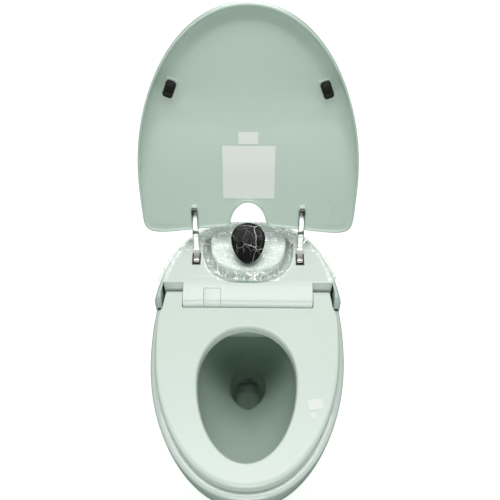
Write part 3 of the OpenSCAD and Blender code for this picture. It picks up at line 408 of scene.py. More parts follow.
# The bowl's mask is an oval, given by its half width, its reach and its line, that grows from the well to the rim.
low_half, low_reach, low_line = 0.054, 0.060, 0.045
more_half, more_reach, more_line = 0.073, 0.110, 0.113
glaze, place = start_finish("mint_glaze")
cloud = place.noise(9, 3)
speck = place.noise(420, 1).band(0.70, 0.78)
glaze_tone_and_shade = cloud.band(0.3, 0.7).blend((0.735, 0.810, 0.762), (0.765, 0.838, 0.792))
across, along, high = (place.axis(number) for number in (0, 1, 2))
upper = high.band(0.15, 0.39)
beside = abs(across) / (low_half + more_half * upper)
ahead = abs(along + low_line + more_line * upper) / (low_reach + more_reach * upper)
inside = 1.0 - ((beside ** 2.0 + ahead ** 2.0) ** 0.5).band(1.03, 1.11)
# Painted shade: inside the bowl the glaze is coloured darker towards the well, and darkest on the bowl's rear wall.
painted_bowl_shade = (1.0 - high.band(0.13, 0.30)).blend((0.53, 0.64, 0.56), (0.16, 0.24, 0.18))
painted_bowl_shade = (along.band(-0.09, 0.0) * high.band(0.14, 0.22)).blend(painted_bowl_shade, (0.15, 0.22, 0.17))
well = inside * (1.0 - high.band(0.15, 0.23))
glaze_tone_and_shade = (inside * 0.95).blend(glaze_tone_and_shade, painted_bowl_shade)
ripple = place.noise(38, 2) + 0.25 * place.noise(160, 1)
feed(glaze, Base_Color=(speck * 0.06).blend(glaze_tone_and_shade, (0.62, 0.70, 0.65)), Roughness=0.16 + 0.05 * cloud + 0.4 * well,
     Coat_Weight=0.6 * (1.0 - well), Coat_Roughness=0.04, IOR=1.52, Normal=bump(ripple, 0.25, 0.0012))
finish_piece(ceramic, glaze, "body", "glaze", "ceramic_body")

# ---------- rear cover ----------
# The moulded cover of the seat unit: it carries the skirt's curve on above the seam and rounds into the shelf.
# A 3 mm shell, open in front for the seat unit and underneath, clipped down on the ceramic shelf.
cover_wall, shoulder_height, shoulder_round, shoulder_rise = 0.003, 0.449, 0.015, 0.025
deck_band, deck_back = 0.013, 0.172
recess_half, recess_front, recess_back = 0.1025, 0.092, 0.225
recess_line, recess_powers = 0.200, (2.7, 3.2)
port_x, port_z, web_face = 0.110, 0.336, 0.189
seat_half, seat_front, seat_back, cheek_y = 0.1935, 0.330, 0.2815, 0.0931


def body_plan(inset, height=0.0, count=128):
    """The plan of the body, drawn in by inset."""
    return egg_plan(body_half - inset, body_front - inset, body_back - inset, height, count)


def oval_plan(half, front_y, back_y, height=0.0):
    """The plan of the recess and of the platform in it."""
    return egg_plan(half, recess_line - front_y, back_y - recess_line, height, 128, recess_line, recess_powers)


rings = [skirt(0.68 + 0.295 * step / 12) for step in range(13)]
for rising, falling in quarter(12):
    height = shoulder_height - shoulder_rise * falling
    rings.append([(x, y, height + tilt * (y - 0.1)) for x, y, z in body_plan(shoulder_round * rising)])
rear_cover = draw_skin("rear_cover", rings, (False, True))
apply_modifier(rear_cover, "SOLIDIFY", thickness=cover_wall, offset=-1, use_even_offset=True)
carve(rear_cover, block((-0.3, -0.5, 0.2), (0.3, seam_y + 0.0006, 0.6)))
carve(rear_cover, block((-0.3, -0.5, 0.2), (0.3, 0.5, shelf_height + 0.0006)))
hole = prism(body_plan(deck_band - 0.0005), 0.38, 0.50)
carve(hole, block((-0.3, 0, 0.3), (0.3, deck_back + 0.0005, 0.6)), "INTERSECT")
carve(rear_cover, hole)
carve(rear_cover, prism(oval_plan(recess_half, recess_front, recess_back), 0.38, 0.5))
for middle in (-0.150, 0.150):
    web = block((middle - 0.050, seam_y + 0.0008, 0.402), (middle + 0.050, cheek_y - 0.003, 0.4425))
    carve(web, block((-web_face, 0, 0.39), (web_face, 0.2, 0.46)))
    edge = [egg_plan(body_half - inset, body_front, body_back - inset, height)
            for inset, height in ((0.002, 0.38), (0.002, 0.425), (0.010, 0.446))]
    carve(web, draw_skin("web_edge", edge), "INTERSECT")
    carve(rear_cover, web, "UNION")
for x, radius in ((-port_x, 0.012), (port_x, 0.009)):
    carve(rear_cover, rod((x, 0.215, port_z), (x, 0.33, port_z), radius))
smooth(rear_cover, 35)


def plastic(name, colour, shade, rough, grain=0.15, **more):
    """Injection moulded plastic: a faint cloud in the colour, a fine skin and slow waves from the mould."""
    material, place = start_finish(name)
    cloud = place.noise(6, 3)
    wave = place.noise(14, 1)
    skin = place.noise(900, 2)
    feed(material, Base_Color=cloud.band(0.3, 0.7).blend(shade, colour), Roughness=rough + 0.08 * cloud,
         Normal=bump(wave + grain * skin, 0.3, 0.0008), **more)
    return material


mint_tones = (0.772, 0.850, 0.800), (0.755, 0.835, 0.783)
mint = plastic("mint_plastic", *mint_tones, 0.22, Coat_Weight=0.25, Coat_Roughness=0.12)
finish_piece(rear_cover, mint, "body", "mint_plastic", "rear_shell")

# ---------- platform tray ----------
# The recess behind the seat and the raised platform that the flush head stands on, moulded in one.
# Its wall stands behind the deck cover, and a round hole takes the stem of the head.
platform_half, platform_front, platform_back, platform_top = 0.084, 0.115, 0.222, 0.469
recess_floor, platform_round, foot_fillet = 0.429, 0.007, 0.004
stem_y, stem_room = 0.160, 0.012
rings = [oval_plan(recess_half + 0.004, recess_front - 0.004, 0.230, z)
         for z in (recess_floor - cover_wall, recess_floor)]
for rising, falling in quarter(6):
    grow = foot_fillet * falling
    rings.append(oval_plan(platform_half + grow, platform_front - grow, platform_back,
                           recess_floor + foot_fillet * rising))
for rising, falling in quarter(8):
    draw = platform_round * rising
    rings.append(oval_plan(platform_half - draw, platform_front + draw, platform_back - 0.5 * draw,
                           platform_top - platform_round * falling))
tray = draw_skin("platform_tray_skin", rings)
ledge = prism(oval_plan(recess_half + 0.0036, recess_front - 0.0036, 0.229), recess_floor - 0.001,
              shoulder_height - 0.001)
carve(ledge, prism(oval_plan(recess_half + 0.0006, recess_front, 0.226), 0.41, 0.46))
carve(ledge, block((-0.2, 0, 0.4), (0.2, deck_back + 0.0005, 0.5)))
carve(tray, ledge, "UNION")
carve(tray, rod((0, stem_y, 0.42), (0, stem_y, 0.49), stem_room))
smooth(tray, 35)
# Painted shade: the tray is coloured darker low down, on the recess floor, its walls and the foot of the platform.
mint_tray_shaded = plastic("mint_tray_shaded", *mint_tones, 0.22)
low = 1.0 - Shade(mint_tray_shaded.node_tree).node("TexCoord", out=3).axis(2).band(0.440, 0.466)
feed(mint_tray_shaded, Base_Color=low.blend((0.78, 0.86, 0.81), (0.40, 0.50, 0.43)))
finish_piece(tray, mint_tray_shaded, "body", "mint_plastic", "platform_tray")

# ---------- seat ----------
# A moulded seat ring with a soft top, its two wings reaching back beside the deck to the hinge.
# The underside is recessed for the plate that closes it.
seat_height, seat_thick, seat_edge = 0.4265, 0.0255, 0.0034
axis_y, axis_z, wing_radius = 0.075, 0.4162, 0.0134
notch_x, notch_y, wing_y, corner_round = 0.1426, 0.0402, 0.1, 0.004
notch_weight, wing_narrow, wing_start, wing_run = 0.4, 0.0060, 0.016, 0.026
plate_y, plate_inset, bed_depth, mid_drop = 0.0371, 0.0045, 0.0226, 0.012
hole_half, hole_front, hole_back, hole_line = 0.100, 0.1755, 0.1195, -0.126
hole_soft, hole_drop, hole_rim, ring_sides = 0.0055, 0.011, 0.0065, 144
low_edge = ((0, 0.0235), (0.0006, 0.0249), (0.002, seat_thick))


def held(share):
    return min(1.0, max(0.0, share))


def eased(share):
    share = held(share)
    return share * share * (3 - 2 * share)


def seat_z(y):
    return seat_height + tilt * y


def corner(before, point, after, radius):
    """Points of a round corner at point between two others."""
    point = Vector(point)
    one, two = (Vector(before) - point).normalized(), (Vector(after) - point).normalized()
    half = one.angle(two) / 2
    middle = point + (one + two).normalized() * radius / sin(half)
    start = point + one * radius / tan(half) - middle
    end = point + two * radius / tan(half) - middle
    sweep = start.angle_signed(end)
    return [middle + Matrix.Rotation(-sweep * step / 8, 2) @ start for step in range(9)]


def edge_weight(y):
    """How round the seat's outer edge is: more beside the hole, most in front."""
    return 1.0 + 1.1 * eased((0.04 - y) / 0.12) + 1.2 * eased((-0.14 - y) / 0.18)


def seat_outline():
    """Right half of the plan from the front to the notch, then mirrored: points and how round their edge is."""
    side = [egg(radians(step - 90), seat_half, seat_front, seat_back, body_line, 2.1, 2.4)
            for step in range(180)]
    side = [((x - wing_narrow * held((y - wing_start) / wing_run) ** 2, y), edge_weight(y))
            for x, y in side if y < 0.094]
    wing, inner, notch = (side[-1][0][0], wing_y), (notch_x, wing_y), (notch_x, notch_y)
    rear = corner(side[-1][0], wing, inner, corner_round) + corner(wing, inner, notch, corner_round)
    rear += [(notch_x, y) for y in (0.085, 0.07, 0.058)] + corner(inner, notch, (0, notch_y), corner_round)
    rear += [(notch_x * step / 12, notch_y) for step in range(11, -1, -1)]
    points = side + [(point, notch_weight) for point in rear]
    return points + [((-point[0], point[1]), weight) for point, weight in points[-2:0:-1]]


def drawn_in(outline, inset, drop, top=False):
    """The outline moved inwards by inset and down by drop. On the top edge both grow with its roundness."""
    ring = []
    for index, (point, weight) in enumerate(outline):
        before, after = outline[index - 1][0], outline[(index + 1) % len(outline)][0]
        along = (Vector(after) - Vector(before)).normalized()
        draw = inset * (weight if top else min(weight, 1.0))
        x, y = point[0] - along[1] * draw, point[1] + along[0] * draw
        ring.append((x, y, seat_z(y) - drop * (weight if top else 1.0)))
    return ring


def hole_ring(grow, drop):
    plan = egg_plan(hole_half + grow, hole_front + grow, hole_back + grow, 0, ring_sides, hole_line, (2.0, 2.05))
    return [(x, y, seat_z(y) - drop) for x, y, z in plan]


def plate_ring(drop):
    """Edge of the recess that takes the closing plate."""
    plan = egg_plan(seat_half - plate_inset, seat_front - plate_inset, 0.150 - plate_inset, 0, ring_sides,
                    body_line, (2.1, 4.2))
    return [(x, min(y, plate_y), seat_z(min(y, plate_y)) - drop) for x, y, z in plan]


def side_cut(side):
    """A shape in side view carried across the whole width, for cutting with."""
    return draw_skin("side_cut", [[(x, y, z) for y, z in side] for x in (-0.25, 0.25)])


outline = seat_outline()
rings = [drawn_in(outline, seat_edge + 0.0010, 0, True), drawn_in(outline, seat_edge + 0.0003, 0.00001, True)]
rings += [drawn_in(outline, seat_edge * falling, seat_edge * rising, True) for rising, falling in quarter(7)]
rings += [drawn_in(outline, inset, drop) for inset, drop in ((0, mid_drop), *low_edge)]
seat = draw_skin("seat_top", rings, (False, False))
bed = draw_skin("bed", [plate_ring(seat_thick), plate_ring(bed_depth)], (False, False))
rings = [hole_ring(hole_rim, bed_depth), hole_ring(hole_rim, seat_thick)]
rings += [hole_ring(grow, drop) for grow, drop in (*reversed(low_edge), (0, 0.0205))]
rings += [hole_ring(hole_soft * rising, hole_drop * falling) for rising, falling in quarter(12)]
rings += [hole_ring(hole_soft + 0.001, 0), hole_ring(hole_soft + 0.004, 0)]
ring_skin = draw_skin("ring_skin", rings, (False, False))
pick(bed, ring_skin, seat)
bpy.ops.object.join()
bpy.ops.object.mode_set(mode="EDIT")
for level in (0, seat_thick, bed_depth):
    bpy.ops.mesh.select_all(action="DESELECT")
    mesh = bmesh.from_edit_mesh(seat.data)
    for edge in mesh.edges:
        if edge.is_boundary and all(abs(seat_z(v.co.y) - v.co.z - level) < 2e-5 for v in edge.verts):
            edge.select_set(True)
    bmesh.update_edit_mesh(seat.data)
    bpy.ops.mesh.fill(use_beauty=True)
bpy.ops.mesh.select_all(action="SELECT")
bpy.ops.mesh.normals_make_consistent()
bpy.ops.object.mode_set(mode="OBJECT")
side = [(-0.4, 0.38), (axis_y, 0.38)]
side += [(axis_y + wing_radius * sin(radians(a)), axis_z - wing_radius * cos(radians(a)))
         for a in range(0, 181, 6)]
side += [(axis_y, 0.46), (-0.4, 0.46)]
carve(seat, side_cut(side), "INTERSECT")
for end in (-1, 1):
    carve(seat, rod((end * 0.138, axis_y, axis_z), (end * 0.162, axis_y, axis_z), 0.00502))
smooth(seat, 35)
apply_modifier(seat, "WEIGHTED_NORMAL", keep_sharp=True, weight=60)

# Painted light: the seat's mint is lighter than the covers', to brighten its lit top.
seat_plastic = plastic("seat_plastic", (0.825, 0.895, 0.840), (0.808, 0.882, 0.826), 0.26, Coat_Weight=0.2,
                       Coat_Roughness=0.2)
finish_piece(seat, seat_plastic, "seat", "seat_plastic", "seat_shell")

# ---------- lid ----------
# A dished lid moulded in one, with a flat rim, a wide inner fillet and a notch that clears the flush head.
# It is drawn closed and level in front of its hinge, then raised to the angle of the photograph.
hinge_y, hinge_z, lid_open = 0.153, 0.4495, 103.4
lid_half, lid_front, lid_wide, lid_back, lid_bow = 0.228, 0.375, 0.1605, 0.0835, 0.030
lid_rim, lid_dish, lid_wall, lid_ramp = 0.020, 0.026, 0.0045, 0.260
core_inset, core_line, rim_width, strip_width = 0.076, -0.2705, 0.0043, 0.0045
outer_dish, inner_dish = lid_dish + lid_wall, 0.92 * lid_dish
lid_notch_half, lid_notch_mid, lid_notch_far = 0.0396, 0.075, 0.140
arm_x, arm_width, arm_thick, arm_far = 0.1155, 0.0130, 0.0045, 0.126


def lid_lift(far):
    """How much of the dish depth is reached at a distance from the hinge."""
    share = (far - lid_back) / lid_ramp
    if share <= 0:
        return 0.0
    return share if share <= 0.9 else 0.9 + 0.1 * eased((share - 0.9) / 0.2)


def lid_ring(inset, level, share):
    """Ring of the lid drawn in from its edge, at a level over the rim plane plus a share of the dish."""
    plan = egg_plan(lid_half - inset, lid_front - inset, lid_wide - lid_back - inset, 0, 160, -lid_wide, (2.05, 8))
    ring = []
    for x, y, z in plan:
        y += lid_bow * (abs(x) / lid_half) ** 1.3 * held((lid_wide + y) / (lid_wide - lid_back))
        ring.append((x, y, lid_rim + level + share * lid_lift(-y)))
    return ring


def lid_core(shrink, level, share):
    """Ring of the flat middle, shrunk towards the middle of the panel."""
    rows = [(x * shrink, mix(core_line, y, shrink)) for x, y, z in lid_ring(core_inset, 0, 0)]
    return [(x, y, lid_rim + level + share * lid_lift(-y)) for x, y in rows]


def rounded_fall(inset, run, power):
    """How far the dish has fallen at an inset from its edge: steep at first, flat after run."""
    return (1 - (1 - min(1.0, inset / run)) ** power) ** (1 / power)


insets = [core_inset, 0.060, 0.044, 0.034, 0.030, 0.025, 0.020, 0.016, 0.0125, 0.0095, 0.007, 0.005, 0.0035,
          0.0022, 0.0012, 0.0005, 0.0001]
rim_edge = ((0, 0.0030, 0.04), (0, 0.0016, 0), (0.0004, 0.0005, 0), (0.0013, 0, 0), (0.0030, 0, 0),
            (0.0039, 0.0004, 0), (rim_width, 0.0012, 0.02))
rings = [lid_core(shrink, 0.0065, 0.85 * outer_dish) for shrink in (0.04, 0.3, 0.55, 0.8)]
for inset in insets:
    level = 0.005 + 0.0015 * min(1, inset / 0.006)
    rings.append(lid_ring(inset, level, outer_dish * (0.12 + 0.73 * rounded_fall(inset, 0.030, 3))))
rings += [lid_ring(inset, level, share * outer_dish) for inset, level, share in rim_edge]
for inset in reversed(insets[:-1]):
    level = 0.0012 + 0.0008 * min(1, inset / 0.004)
    rings.append(lid_ring(rim_width + inset * 0.95, level,
                          inner_dish * (0.04 + 0.96 * rounded_fall(inset, 0.036, 2.5))))
rings += [lid_core(shrink, 0.002, inner_dish) for shrink in (0.8, 0.55, 0.3, 0.04)]
lid = draw_skin("lid_moulding", rings)


def notch_plan(grow):
    """Outline of the notch from corner to corner round its crown, grown outwards."""
    ease, out = 0.009 - grow, lid_notch_half + 0.0082
    edge = lid_back - lid_bow * (out / lid_half) ** 1.3
    points = [(-out, -0.04)]
    points += [(-out + ease * sin(radians(a)), -edge - 0.0085 + ease * cos(radians(a)))
               for a in range(0, 90, 10)]
    reach = lid_notch_far - lid_notch_mid + grow
    arch = [egg(radians(a), lid_notch_half + grow, reach, 0.04, -lid_notch_mid, 2, 2)
            for a in range(192, 349, 3)]
    return points + arch + [(-x, y) for x, y in reversed(points)]


plan = notch_plan(strip_width)
strip = draw_skin("strip", [[(x, y, lid_rim) for x, y in plan],
                            [(x, y, lid_rim + 0.004 + inner_dish * lid_lift(-y)) for x, y in plan]])
carve(strip, prism(lid_ring(0.001, 0, 0), lid_rim - 0.01, lid_rim + 0.05), "INTERSECT")
carve(lid, strip, "UNION")
carve(lid, prism(notch_plan(0), -0.01, 0.08))


def arm_height(far):
    return mix(0.004, lid_rim - 0.0026, eased((far + 0.002) / 0.030))


def panel_height(far):
    return lid_rim + 0.002 + inner_dish * lid_lift(far)


def soft_block(low, high, radius, steps=4):
    """A block with all its edges rounded."""
    tool = block(low, high)
    apply_modifier(tool, "BEVEL", width=radius, segments=steps, limit_method="NONE")
    return tool


for side in (-1, 1):
    x = side * arm_x
    socket = soft_block((x - 0.0088, -arm_far - 0.006, lid_rim - 0.004), (x + 0.0088, -0.0765, lid_rim + 0.012),
                        0.0080, 8)
    carve(socket, block((x - 0.02, -0.2, lid_rim - 0.01), (x + 0.02, 0, lid_rim - 0.0015)))
    carve(lid, socket, "UNION")
    carve(lid, soft_block((x - arm_width / 2 - 0.0006, -arm_far - 0.0006, lid_rim - 0.02),
                          (x + arm_width / 2 + 0.0006, -0.04, lid_rim - 0.0003), 0.0015))
bumper_x, bumper_far, bumper_lean = 0.149, 0.379, 22
bumper_place = {side: Matrix.Translation((side * bumper_x, -bumper_far, panel_height(bumper_far) - 0.0025))
                @ Matrix.Rotation(radians(-side * bumper_lean), 4, "Z") for side in (-1, 1)}
for side, place in bumper_place.items():
    pad = soft_block((-0.0118, -0.0183, -0.0015), (0.0118, 0.0183, 0.006), 0.0028)
    pad.data.transform(place)
    carve(lid, pad, "UNION")


def raise_with_lid(piece):
    """Swings a piece that was drawn with the lid closed and level up to the open lid."""
    pick(piece)
    piece.rotation_euler[0] = radians(-lid_open)
    piece.location = (0, hinge_y, hinge_z)
    bpy.ops.object.transform_apply()


raise_with_lid(lid)
smooth(lid, 32)
# Painted shade: the lid's mint is darker than the seat's and the covers', for the raised lid that faces the front.
lid_plastic = plastic("lid_plastic", (0.672, 0.775, 0.705), (0.655, 0.760, 0.690), 0.24, Coat_Weight=0.3,
                      Coat_Roughness=0.12)
finish_piece(lid, lid_plastic, "lid", "lid_plastic", "lid_shell")

# ---------- lid arms ----------
# Two die-cast straps, brightly chromed, let into sockets of the lid.
# They turn on pins under the deck slots.
eye_radius, pin_bore = 0.008, 0.00325


def arm_section(far, width=arm_width, thick=arm_thick, edge=0.0014):
    """Rounded section of the strap, square to its centre line."""
    step = 0.001
    slope = atan2(arm_height(far + step) - arm_height(far - step), 2 * step)
    ring = []
    for sx, sz, start in ((1, 1, 0), (-1, 1, 90), (-1, -1, 180), (1, -1, 270)):
        for part in range(7):
            a = radians(start + 15 * part)
            across = sx * (width / 2 - edge) + edge * cos(a)
            up = sz * (thick / 2 - edge) + edge * sin(a)
            ring.append((across, -far + up * sin(slope), arm_height(far) + up * cos(slope)))
    return ring


chrome, place = start_finish("bright_chrome")
scuff = place.noise(260, 3).band(0.62, 0.75)
high = place.axis(2)
# Painted reflections: the chrome is coloured dark at the strap's foot by the slot, at its socket end and along its
# edges.
painted_dark_reflection = (1.0 - high.band(0.448, 0.480)).most(high.band(0.543, 0.556))
painted_dark_reflection = painted_dark_reflection.most(0.6 * abs(abs(place.axis(0)) - arm_x).band(0.0034, 0.0060))
feed(chrome, Base_Color=painted_dark_reflection.blend((0.90, 0.90, 0.90), (0.16, 0.15, 0.15)), Metallic=1.0,
     Roughness=0.07 + 0.16 * scuff, Normal=bump(place.noise(120, 1), 0.12, 0.0004))
for side, name in ((-1, "lid_arm_left"), (1, "lid_arm_right")):
    rings = [arm_section(far / 1000) for far in range(-1, 58, 3)]
    rings += [arm_section(far, arm_width + 0.0010, arm_thick + 0.0016) for far in (0.0590, 0.0640)]
    rings += [arm_section(far) for far in (0.0668, 0.075, 0.090, 0.105, 0.118)]
    rings += [arm_section(arm_far - 0.008 * falling, arm_width - 0.010 * rising, arm_thick - 0.0012 * rising,
                          0.0013 - 0.0001 * part) for part, (rising, falling) in enumerate(quarter(6, 1))]
    arm = draw_skin(name, rings)
    eye = rod((-arm_width / 2, 0, 0), (arm_width / 2, 0, 0), eye_radius)
    apply_modifier(eye, "BEVEL", width=0.0008, segments=3, limit_method="ANGLE")
    carve(arm, eye, "UNION")
    carve(arm, rod((-0.01, 0, 0), (0.01, 0, 0), pin_bore))
    arm.data.transform(Matrix.Translation((side * arm_x, 0, 0)))
    raise_with_lid(arm)
    smooth(arm, 40)
    finish_piece(arm, chrome, "lid", "chrome", *(["lid_arms"] if side < 0 else []))

# ---------- lid bumpers ----------
# Black moulded rubber buffers on raised pads of the lid.
# Each is held by one sunk screw.
rubber, place = start_finish("black_rubber")
dust = place.noise(90, 4).band(0.5, 0.8)
feed(rubber, Base_Color=dust.blend((0.008, 0.009, 0.008), (0.018, 0.019, 0.018)), Specular_IOR_Level=0.2,
     Roughness=0.5 - 0.12 * dust, Normal=bump(place.noise(1500, 2), 0.3, 0.0002))
for side, name in ((-1, "bumper_left"), (1, "bumper_right")):
    bumper = soft_block((-0.0100, -0.0165, -0.0150), (0.0100, 0.0165, -0.0016), 0.0058, 6)
    carve(bumper, rod((0, 0, -0.02), (0, 0, -0.009), 0.0055))
    carve(bumper, rod((0, 0, -0.012), (0, 0, 0.002), 0.00205))
    apply_modifier(bumper, "BEVEL", width=0.0005, segments=2, limit_method="ANGLE", angle_limit=radians(50))
    bumper.data.transform(bumper_place[side])
    bumper.name = name
    raise_with_lid(bumper)
    smooth(bumper, 40)
    finish_piece(bumper, rubber, "lid", "black_rubber", *(["lid_bumpers"] if side < 0 else []))

# ---------- deck cover and hatch ----------
# The cover behind the seat: its tongue falls to a rounded nose between the seat wings, with the hatch cut from it.
# A 3 mm moulding with slots for the lid arms and an opening for the recess, clipped into the rear cover.
nose_radius, tongue_half = 0.0323, 0.1406
deck_height, deck_slope = 0.447, 0.08
deck_flat_y, deck_drop, nose_y = 0.110, 0.0113, axis_y - nose_radius
hatch_left, hatch_wide, hatch_y, room_front = -0.096, 0.037, 0.079, 0.088
slot_front, slot_back, slot_half, ledge_half = hinge_y - 0.0134, hinge_y + 0.0152, 0.0082, 0.0162


def deck_z(y):
    fall = max(0.0, (deck_flat_y - y) / (deck_flat_y - nose_y))
    return deck_height + deck_slope * (y - nose_y - 0.008) - deck_drop * fall ** 2


def deck_solid(inset):
    """The closed form of the deck cover, drawn in by inset: its plan cut by its side view."""
    solid = prism(body_plan(deck_band + inset, 0, 256), 0.38, 0.52)
    tongue = block((inset - tongue_half, 0, 0.3), (tongue_half - inset, deck_back - inset, 0.6))
    carve(tongue, block((-0.3, cheek_y + inset, 0.3), (0.3, deck_back - inset, 0.6)), "UNION")
    carve(solid, tongue, "INTERSECT")
    radius, foot, top = nose_radius - inset, 0.404 - (0.002 if inset else 0), deck_z(0.05) - inset
    for attempt in range(20):
        top = deck_z(axis_y - sqrt(radius ** 2 - (top - axis_z) ** 2)) - inset
    heights = [mix(foot, top, step / 24) for step in range(25)]
    side = [(axis_y - sqrt(radius ** 2 - (z - axis_z) ** 2), z) for z in heights]
    side += [(y, deck_z(y) - inset) for y in (mix(side[-1][0], deck_flat_y, step / 16) for step in range(1, 17))]
    side += [(0.24, deck_z(0.24) - inset), (0.24, foot)]
    carve(solid, side_cut(side), "INTERSECT")
    return solid


deck = deck_solid(0)
lip = deck_solid(0)
carve(lip, prism(oval_plan(recess_half + 0.0035, recess_front - 0.0035, 0.260), recess_floor + 0.0005, 0.5),
      "INTERSECT")
carve(deck, deck_solid(cover_wall))
carve(deck, lip, "UNION")
carve(deck, prism(oval_plan(recess_half + 0.0005, recess_front - 0.0005, 0.260), 0.38, 0.5))
for side in (-1, 1):
    x, pin_x = side * arm_x, side * tongue_half
    carve(deck, block((x - slot_half, slot_front, 0.435), (x + slot_half, slot_back, 0.48)))
    carve(deck, block((x - ledge_half, 0.1454, 0.435), (x + ledge_half, 0.1606, deck_z(0.146) - 0.0014)))
    carve(deck, rod((pin_x - side * 0.006, axis_y, axis_z), (pin_x + side * 0.006, axis_y, axis_z), 0.0055))
for near, wide in ((room_front, tongue_half - 0.004), (cheek_y + 0.0032, 0.3)):
    carve(deck, block((-wide, near, 0.38), (wide, deck_back + 0.001, recess_floor + 0.0005)))
hatch = deck.copy()
hatch.data = deck.data.copy()
scene.collection.objects.link(hatch)
hatch.name = "hatch_piece"
carve(hatch, block((hatch_left, -0.02, 0.425), (hatch_left + hatch_wide, hatch_y, 0.48)), "INTERSECT")
carve(deck, block((hatch_left - 0.0005, -0.02, 0.4245), (hatch_left + hatch_wide + 0.0005, hatch_y + 0.0007, 0.48)))
deck.name = "deck_moulding"

mint_light = plastic("mint_light", (0.780, 0.835, 0.800), (0.768, 0.823, 0.786), 0.26, Coat_Weight=0.2,
                     Coat_Roughness=0.15)
for piece, node in ((deck, "deck_cover"), (hatch, "hatch_cover")):
    apply_modifier(piece, "BEVEL", width=0.0007, segments=2, limit_method="ANGLE", angle_limit=radians(50))
    smooth(piece, 40)
    finish_piece(piece, mint_light, "body", "mint_light", node)

# ---------- flush head ----------
# The egg-shaped press cap of glossy black plastic, domed and rounded at its edge.
# It stands aslant on its socket, which keeps its construction shape.
head_y, head_z, head_tilt, head_half, head_length = 0.122, 0.476, 30, 0.037, 0.090
head_place = Matrix.Translation((0, head_y, head_z)) @ Matrix.Rotation(radians(head_tilt), 4, "X")
cap_foot, cap_top, cap_round, cap_dome = 0.0058, 0.0158, 0.0050, 0.0022


def head_ring(inset, height):
    """Ring of the head at a height over its foot, drawn in by inset."""
    plan = egg_plan(head_half - inset, head_length * 0.62 - inset, head_length * 0.38 - inset, height, 96,
                    head_length * 0.62, (1.85, 2.0))
    return [tuple(head_place @ Vector(point)) for point in plan]


def cap_rings(grow=0.0):
    """The cap's round edge and its dome, grown outwards."""
    edge = [head_ring(cap_round * rising - grow * (1 - rising),
                      cap_top - cap_dome - cap_round * falling * 0.8 + grow * (1 - falling))
            for rising, falling in quarter(8)]
    return edge + [head_ring(inset, cap_top + grow
                             - cap_dome * (1 - ((inset - cap_round) / (head_half - cap_round)) ** 0.75))
                   for inset in (0.008, 0.012, 0.018, 0.024, 0.030, 0.035)]


cap_base = ((0.004, 0.001), (0.004, cap_foot), (0.0005, cap_foot), (0, cap_foot + 0.0006))
head = draw_skin("flush_cap", [head_ring(inset, height) for inset, height in cap_base] + cap_rings())
smooth(head, 50)
black_gloss, place = start_finish("black_gloss")
smear = place.noise(30, 4)
feed(black_gloss, Base_Color=(0.004, 0.0045, 0.004, 1), Roughness=0.08 + 0.12 * smear.band(0.45, 0.8),
     Specular_IOR_Level=0.10, Normal=bump(place.noise(24, 2), 0.10, 0.001))
finish_piece(head, black_gloss, "head", "black_gloss", "head_cap")

# ---------- slot collars and wash panel ----------
# Black moulded collars line the arm slots; the split panel at the back of the bowl closes the wand and the dryer.
# They keep their construction shapes, with the edges eased, as does the black socket under the flush cap.


def dress(material, width, *nodes):
    """Puts a finish on nodes that keep their own shapes, and eases their edges by width where they are seen."""
    for piece in (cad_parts[node] for node in nodes):
        piece.data.materials.clear()
        piece.data.materials.append(material)
        if width:
            piece.modifiers.new("weld", "WELD").merge_threshold = 0.00002
            ease = piece.modifiers.new("ease", "BEVEL")
            ease.width, ease.segments, ease.limit_method, ease.angle_limit = width, 2, "ANGLE", radians(45)
        smooth(piece, 35)


black_plastic = plastic("black_plastic", (0.020, 0.022, 0.020), (0.013, 0.014, 0.013), 0.35, 0.5)
dress(black_plastic, 0.0003, "slot_collars")
dress(black_plastic, 0.0005, "head_body")
# Painted shade: the wand and dryer panels take a dark copy of the mint, for the shade at the back of the bowl.
mint_panel_shaded = plastic("mint_panel_shaded", (0.37, 0.47, 0.40), (0.34, 0.44, 0.37), 0.3)
dress(mint_panel_shaded, 0.0006, "wand_gate", "dryer_flap")
dress(mint, 0, "nozzle_bay", "seat_base")

# ---------- labels ----------
# Blank white film labels on the lid and on the seat.
# They are slightly glossy, with nothing printed on them.
sticker, place = start_finish("blank_label")
mottle = place.noise(300, 2)
feed(sticker, Base_Color=mottle.blend((0.97, 0.97, 0.97), (1.0, 1.0, 1.0)), Roughness=0.30 + 0.1 * mottle,
     Coat_Weight=1.0, Normal=bump(place.noise(60, 2), 0.1, 0.0005))
dress(sticker, 0, "lid_stickers", "seat_stickers")

# ---------- outlet and floor fixing ----------
# Under the foot: the white waste connector in its rubber seal.
# The floor brackets, their bolts and the side screws are zinc plated.


def metal(name, colour, rough, scale):
    """Plated or rolled metal: fine grain in the roughness and a faint patch tone."""
    material, place = start_finish(name)
    patch = place.noise(scale * 0.1, 3)
    grain = place.noise(scale, 3)
    dark = tuple(0.8 * value for value in colour)
    feed(material, Base_Color=patch.band(0.35, 0.65).blend(dark, colour), Metallic=1.0, Roughness=rough + 0.2 * grain,
         Normal=bump(grain, 0.15, 0.0003))
    return material


zinc_steel = metal("zinc_steel", (0.60, 0.61, 0.62), 0.28, 400)
white_plastic = plastic("white_plastic", (0.80, 0.80, 0.78), (0.76, 0.76, 0.74), 0.38, 0.5)
seal_rubber = plastic("seal_rubber", (0.035, 0.036, 0.035), (0.022, 0.023, 0.022), 0.6, 1.0)
dress(white_plastic, 0.0006, "waste_connector")
dress(seal_rubber, 0, "outlet_seal")
dress(zinc_steel, 0.0004, "floor_brackets", "floor_bolts", "side_screws")

